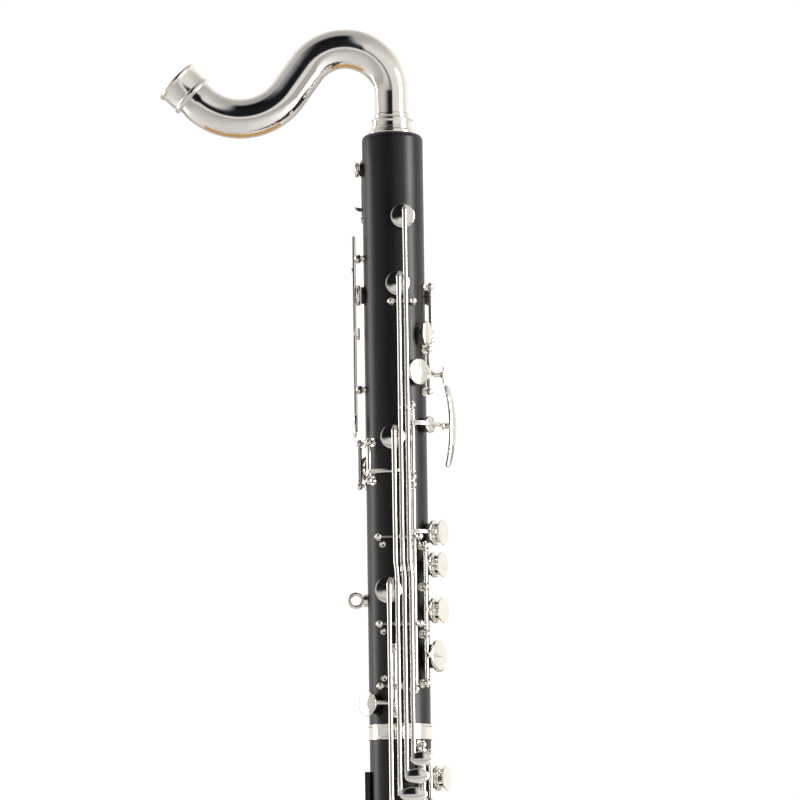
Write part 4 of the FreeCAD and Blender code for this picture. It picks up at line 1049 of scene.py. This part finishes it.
def neck_stations():
    """The neck's centreline: up from the collar, over the high bend, down and up again."""
    start = 941
    straight = 955.3
    high_bend = 33
    high_turn = 144
    between = 22.7
    low_bend = 41.6
    low_turn = 98
    thick = 14.1
    first = 11.9
    stations = [(UP * start, UP, first)]
    steps = 48
    for step in range(steps + 1):
        share = step / steps
        turn = math.radians(high_turn * share)
        centre = Vector((-high_bend + high_bend * math.cos(turn), 0,
                         straight + high_bend * math.sin(turn)))
        way = Vector((-math.sin(turn), 0, math.cos(turn)))
        grown = min(1.0, 2.2 * share)
        stations.append((centre, way, first + (thick - first) * grown))
    centre = centre + way * between
    inward = Vector((-math.cos(math.radians(high_turn)), 0, -math.sin(math.radians(high_turn))))
    pivot = centre - inward * low_bend
    steps = 36
    for step in range(steps + 1):
        heading = math.radians(high_turn - low_turn * step / steps)
        centre = pivot + Vector((-math.cos(heading), 0, -math.sin(heading))) * low_bend
        way = Vector((-math.sin(heading), 0, math.cos(heading)))
        stations.append((centre, way, thick))
    steps = 4
    for step in range(1, steps + 1):
        stations.append((centre + way * 1.4 * step, way, thick - 0.5 * step / steps))
    return stations


def toward(centre, way):
    """A frame at a point whose Z runs along a direction in the XZ plane."""
    return frame_of(LEFT.cross(way), LEFT, way, centre)


def turned(node, place, outline, segments, material, body="instrument_body",
           crease=METAL_CREASE):
    """A ring-shaped part from an outline that closes on itself, for the CAD node of its name."""
    piece = Piece(node + "_look")
    piece.lathe(place, outline, segments, loop=True)
    piece.make(material, body, crease, node)


def neck():
    """The bent tube with the tenon that enters the upper joint, and its fittings."""
    stations = neck_stations()
    tube = Piece("neck_tube_look")
    sweep_tube(tube, stations, 1.4)
    tube.lathe(BORE_AXIS, [(9.6, 898.2), (11.0, 898.2), (11.0, 941), (9.6, 941)], 64,
               loop=True)
    tube.make(SILVER, "neck", METAL_CREASE, "neck_tube")
    turned("neck_collar", BORE_AXIS, [
        (11.02, 929.3), (14.6, 929.3), (15.0, 929.7), (15.0, 930.6), (14.6, 931.0),
        (14.5, 931.6), (14.5, 935.0), (14.6, 935.5), (15.0, 935.8), (15.0, 936.6), (14.6, 937.1),
        (13.2, 937.3), (12.6, 937.9), (12.8, 938.6), (12.8, 940.0), (12.5, 940.7),
        (11.02, 941.0)], 72, SILVER, "neck")
    centre, way, _ = stations[-1]
    turned("mouthpiece_receiver", toward(centre, way), [
        (10.1, 0.1), (13.7, 0.05), (15.4, 0.1), (16.2, 0.5), (16.4, 1.1), (16.4, 2.7), (16.1, 3.4),
        (15.4, 3.9), (15.4, 13.9), (15.6, 14.6), (16.5, 15.0), (16.8, 15.6), (16.8, 17.1),
        (16.4, 17.7), (15.8, 18.0), (12.4, 18.0), (11.8, 17.6), (11.4, 16.9), (11.4, 2.0),
        (10.1, 2.0)], 72, SILVER, "neck")
    turned("neck_sleeve", BORE_AXIS, [
        (12.35, 896.2), (14.25, 896.2), (14.25, 926.0), (16.4, 926.0), (16.9, 926.3),
        (17.0, 927.0), (16.9, 928.2), (16.4, 928.8), (15.6, 929.0), (12.35, 929.0)], 72, SILVER)


BOW_TOP_RADIUS = 16.0
FLARE_START_RADIUS = 24
FLARE_END_RADIUS = 75
BELL_WALL = 1.2


def bow_stations():
    """The U bend below the lower joint."""
    start = 108
    bend = 52
    bend_turn = 165
    low = 85
    stations = [(UP * start, -UP, BOW_TOP_RADIUS)]
    steps = 48
    grown = FLARE_START_RADIUS - BOW_TOP_RADIUS
    for step in range(steps + 1):
        turn = math.radians(bend_turn * step / steps)
        centre = Vector((bend - bend * math.cos(turn), 0, low - bend * math.sin(turn)))
        way = Vector((math.sin(turn), 0, -math.cos(turn)))
        stations.append((centre, way, BOW_TOP_RADIUS + grown * step / steps))
    return stations


def flare_radius(share):
    """The bell's outer radius at a share of its length: a cone that turns into a flare."""
    rate = 3.4
    straight = 0.28
    rise = (math.exp(rate * share) - 1) / (math.exp(rate) - 1)
    grown = straight * share + (1 - straight) * rise
    return FLARE_START_RADIUS + (FLARE_END_RADIUS - FLARE_START_RADIUS) * grown


def bell():
    """The bow, the flared bell with two turned beads, and its rolled rim."""
    stations = bow_stations()
    bow = Piece("bell_bow_look")
    sweep_tube(bow, stations, BELL_WALL, 80)
    bow.make(BELL_SILVER, "instrument_body", METAL_CREASE, "bell_bow")
    centre, way, _ = stations[-1]
    place = toward(centre, way)
    length = 208
    steps = 48
    outer = [(flare_radius(step / steps), length * step / steps) for step in range(steps + 1)]
    inner = [(radius - BELL_WALL, height) for radius, height in outer[::-1]]
    flare = Piece("bell_flare_look")
    flare.lathe(place, outer + inner, 128, loop=True)
    for height, swell in ((1.2, 1.1), (6.0, 0.6)):
        radius = flare_radius(height / length)
        flare.lathe(place, [(radius - 0.5, height - 1.6), (radius + swell, height - 0.8),
                            (radius + swell, height + 0.8), (radius - 0.5, height + 1.6)], 96,
                    loop=True)
    flare.make(BELL_SILVER, "instrument_body", METAL_CREASE, "bell_flare")
    wire_radius = 2.4
    wire = []
    steps = 20
    for step in range(steps):
        turn = 2 * math.pi * step / steps
        wire.append((74.4 + wire_radius * math.cos(turn),
                     length + wire_radius + wire_radius * math.sin(turn)))
    turned("bell_rim", place, wire, 128, BELL_SILVER, crease=ROUND_CREASE)


def rings():
    """The silver ring at the joint and the ferrule that holds the bell."""
    low, high = JOINT_HEIGHT - 11, JOINT_HEIGHT
    turned("joint_ring", BORE_AXIS, [
        (19.85, low + 0.1), (22.2, low + 0.1), (22.55, low + 0.5), (22.55, low + 1.3),
        (22.1, low + 1.7), (22.0, low + 2.2), (22.0, high - 2.2), (22.1, high - 1.7),
        (22.55, high - 1.3), (22.55, high - 0.5), (22.2, high - 0.1),
        (19.85, high - 0.1)], 96, SILVER)
    turned("bell_ferrule", BORE_AXIS, [
        (14.9, 108.0), (17.2, 108.0), (18.6, 108.8), (19.4, 110.6), (20.6, 112.4), (22.1, 113.4),
        (22.5, 114.2), (22.5, 116.0), (22.1, 116.6), (22.0, 118.0), (22.0, 144.0), (22.1, 145.4),
        (22.5, 146.0), (22.5, 149.4), (22.1, 150.0), (18.55, 150.0), (18.55, 125.1),
        (14.9, 125.1)], 96, SILVER)


def keep_cad_nodes():
    """The CAD nodes whose own shapes show, with their materials."""
    looks = {
        "upper_joint": WOOD, "lower_joint": WOOD, "joint_cork": CORK, "neck_cork": CORK,
        "hinge_rods_upper": ROD_STEEL, "hinge_rods_lower": ROD_STEEL, "thumb_rest": REST,
        "strap_ring": KEY_SILVER, "peg_socket": KEY_SILVER, "peg_screw": KEY_SILVER}
    for name, material in looks.items():
        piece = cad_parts[name]
        piece.data.materials.clear()
        piece.data.materials.append(material)


# --- stage ---


def flat_card(name, centre, width, height, face, colour, glow=0.0):
    """A flat card of the studio that a polished surface can reflect."""
    mesh = bpy.data.meshes.new(name)
    half_w, half_h = width / 2, height / 2
    mesh.from_pydata([(-half_w, -half_h, 0), (half_w, -half_h, 0), (half_w, half_h, 0),
                      (-half_w, half_h, 0)], [], [(0, 1, 2, 3)])
    card = bpy.data.objects.new(name, mesh)
    bpy.context.scene.collection.objects.link(card)
    card.location = centre
    card.rotation_euler = Vector(face).to_track_quat("Z", "Y").to_euler()
    made = Surface(name)
    if glow:
        made.shader.inputs["Emission Color"].default_value = (*colour, 1)
        made.shader.inputs["Emission Strength"].default_value = glow
    patches = made.spread(made.noise(made.place, 3, 2), 0.3, 0.7)
    darker = tuple(part * 0.94 for part in colour)
    mesh.materials.append(made.finish(made.blend(patches, colour, darker)))
    made.shader.inputs["Roughness"].default_value = 0.9
    return card


def area_light(name, place, target, power, width, height):
    lamp = bpy.data.lights.new(name, "AREA")
    lamp.shape = "RECTANGLE"
    lamp.size = width
    lamp.size_y = height
    lamp.energy = power
    item = bpy.data.objects.new(name, lamp)
    bpy.context.scene.collection.objects.link(item)
    item.location = place
    item.rotation_euler = (Vector(target) - Vector(place)).to_track_quat("-Z", "Y").to_euler()


def studio_surroundings():
    """Pale walls, a dim ceiling and a dark opening in front, which polished metal reflects."""
    world = bpy.data.worlds.new("studio")
    bpy.context.scene.world = world
    world.use_nodes = True
    nodes = Nodes(world.node_tree)

    def smooth(value, low, high, to_low=0.0, to_high=1.0):
        return nodes.spread(value, low, high, to_low, to_high, "SMOOTHSTEP")

    def product(*factors):
        made = factors[0]
        for factor in factors[1:]:
            made = nodes.calculate("MULTIPLY", made, factor)
        return made

    way = nodes.add("ShaderNodeTexCoord").outputs["Generated"]
    right, back, height = nodes.add("ShaderNodeSeparateXYZ", {0: way}).outputs
    in_front = smooth(product(back, -1), 0.1, 0.4)
    opening = product(smooth(right, -0.92, -0.30), smooth(right, 0.02, 0.17, 1, 0), in_front,
                      smooth(height, -0.03, 0.10))
    walls = nodes.calculate("ADD", smooth(right, -1, 1, 0.60, 0.80), smooth(back, 0.1, 0.6, 0, 0.24))
    room = product(walls, smooth(height, 0.45, 0.95, 1, 0.6))
    lit = product(room, nodes.calculate("SUBTRACT", 1.02, opening))
    seen = nodes.add("ShaderNodeLightPath").outputs["Is Camera Ray"]
    background = nodes.tree.nodes["Background"]
    strength = nodes.calculate("MAXIMUM", lit, product(seen, 1.1))
    nodes.link(strength, background.inputs["Strength"])
    tint = nodes.blend(opening, (1.0, 0.972, 0.925), (0.80, 0.84, 1.0))
    nodes.link(nodes.blend(seen, tint, (1.0, 1.0, 1.0)), background.inputs["Color"])


def stage():
    """A pale floor, a warm board that only reflections show, and soft boxes."""
    flat_card("floor", (0, 0, -0.012), 12, 12, (0, 0, 1), (0.80, 0.80, 0.79))
    board = flat_card("warm_board", (-0.1, 0.55, 0.28), 1.0, 0.6, (0, -0.1, 1), (0.30, 0.17, 0.07),
                      1.0)
    board.visible_camera = False
    board.visible_diffuse = False
    board.visible_shadow = False
    studio_surroundings()
    area_light("side_box", (1.85, -0.75, 0.9), (0, 0, 0.72), 44, 0.62, 2.0)
    area_light("left_box", (-1.9, 0.5, 0.9), (0, 0, 0.7), 14, 0.7, 1.8)


def camera():
    """A long lens low down on the player's right, aimed up at the upper joint."""
    made = bpy.data.cameras.new("camera")
    made.sensor_width = 36
    made.lens = 278
    item = bpy.data.objects.new("camera", made)
    bpy.context.scene.collection.objects.link(item)
    item.location = (0.003, -4.31, 0.21)
    target = Vector((0.003, 0, 0.7375))
    tilt = -0.79
    turn = (target - item.location).to_track_quat("-Z", "Y").to_matrix().to_4x4()
    roll = Matrix.Rotation(math.radians(tilt), 4, "Z")
    item.matrix_world = Matrix.Translation(item.location) @ turn @ roll
    bpy.context.scene.camera = item
    bpy.context.scene.view_settings.view_transform = "Standard"


side_keys()
left_hand_plates()
cs_key()
first_finger_key()
throat_gs_key()
trill_vent_key()
back_keys()
high_vent_key()
link_key()
thumb_key()
ring_side_key()
left_pinky_keys()
right_hand_plates()
low_g_key()
low_keys()
for fittings in (UPPER, LOWER):
    fittings.posts.make(KEY_SILVER, "instrument_body", POST_CREASE, f"posts_{fittings.joint}")
for fittings in (UPPER, LOWER):
    fittings.springs.make(SPRING_STEEL, "instrument_body", ROUND_CREASE)
neck()
bell()
rings()
keep_cad_nodes()
stage()
camera()
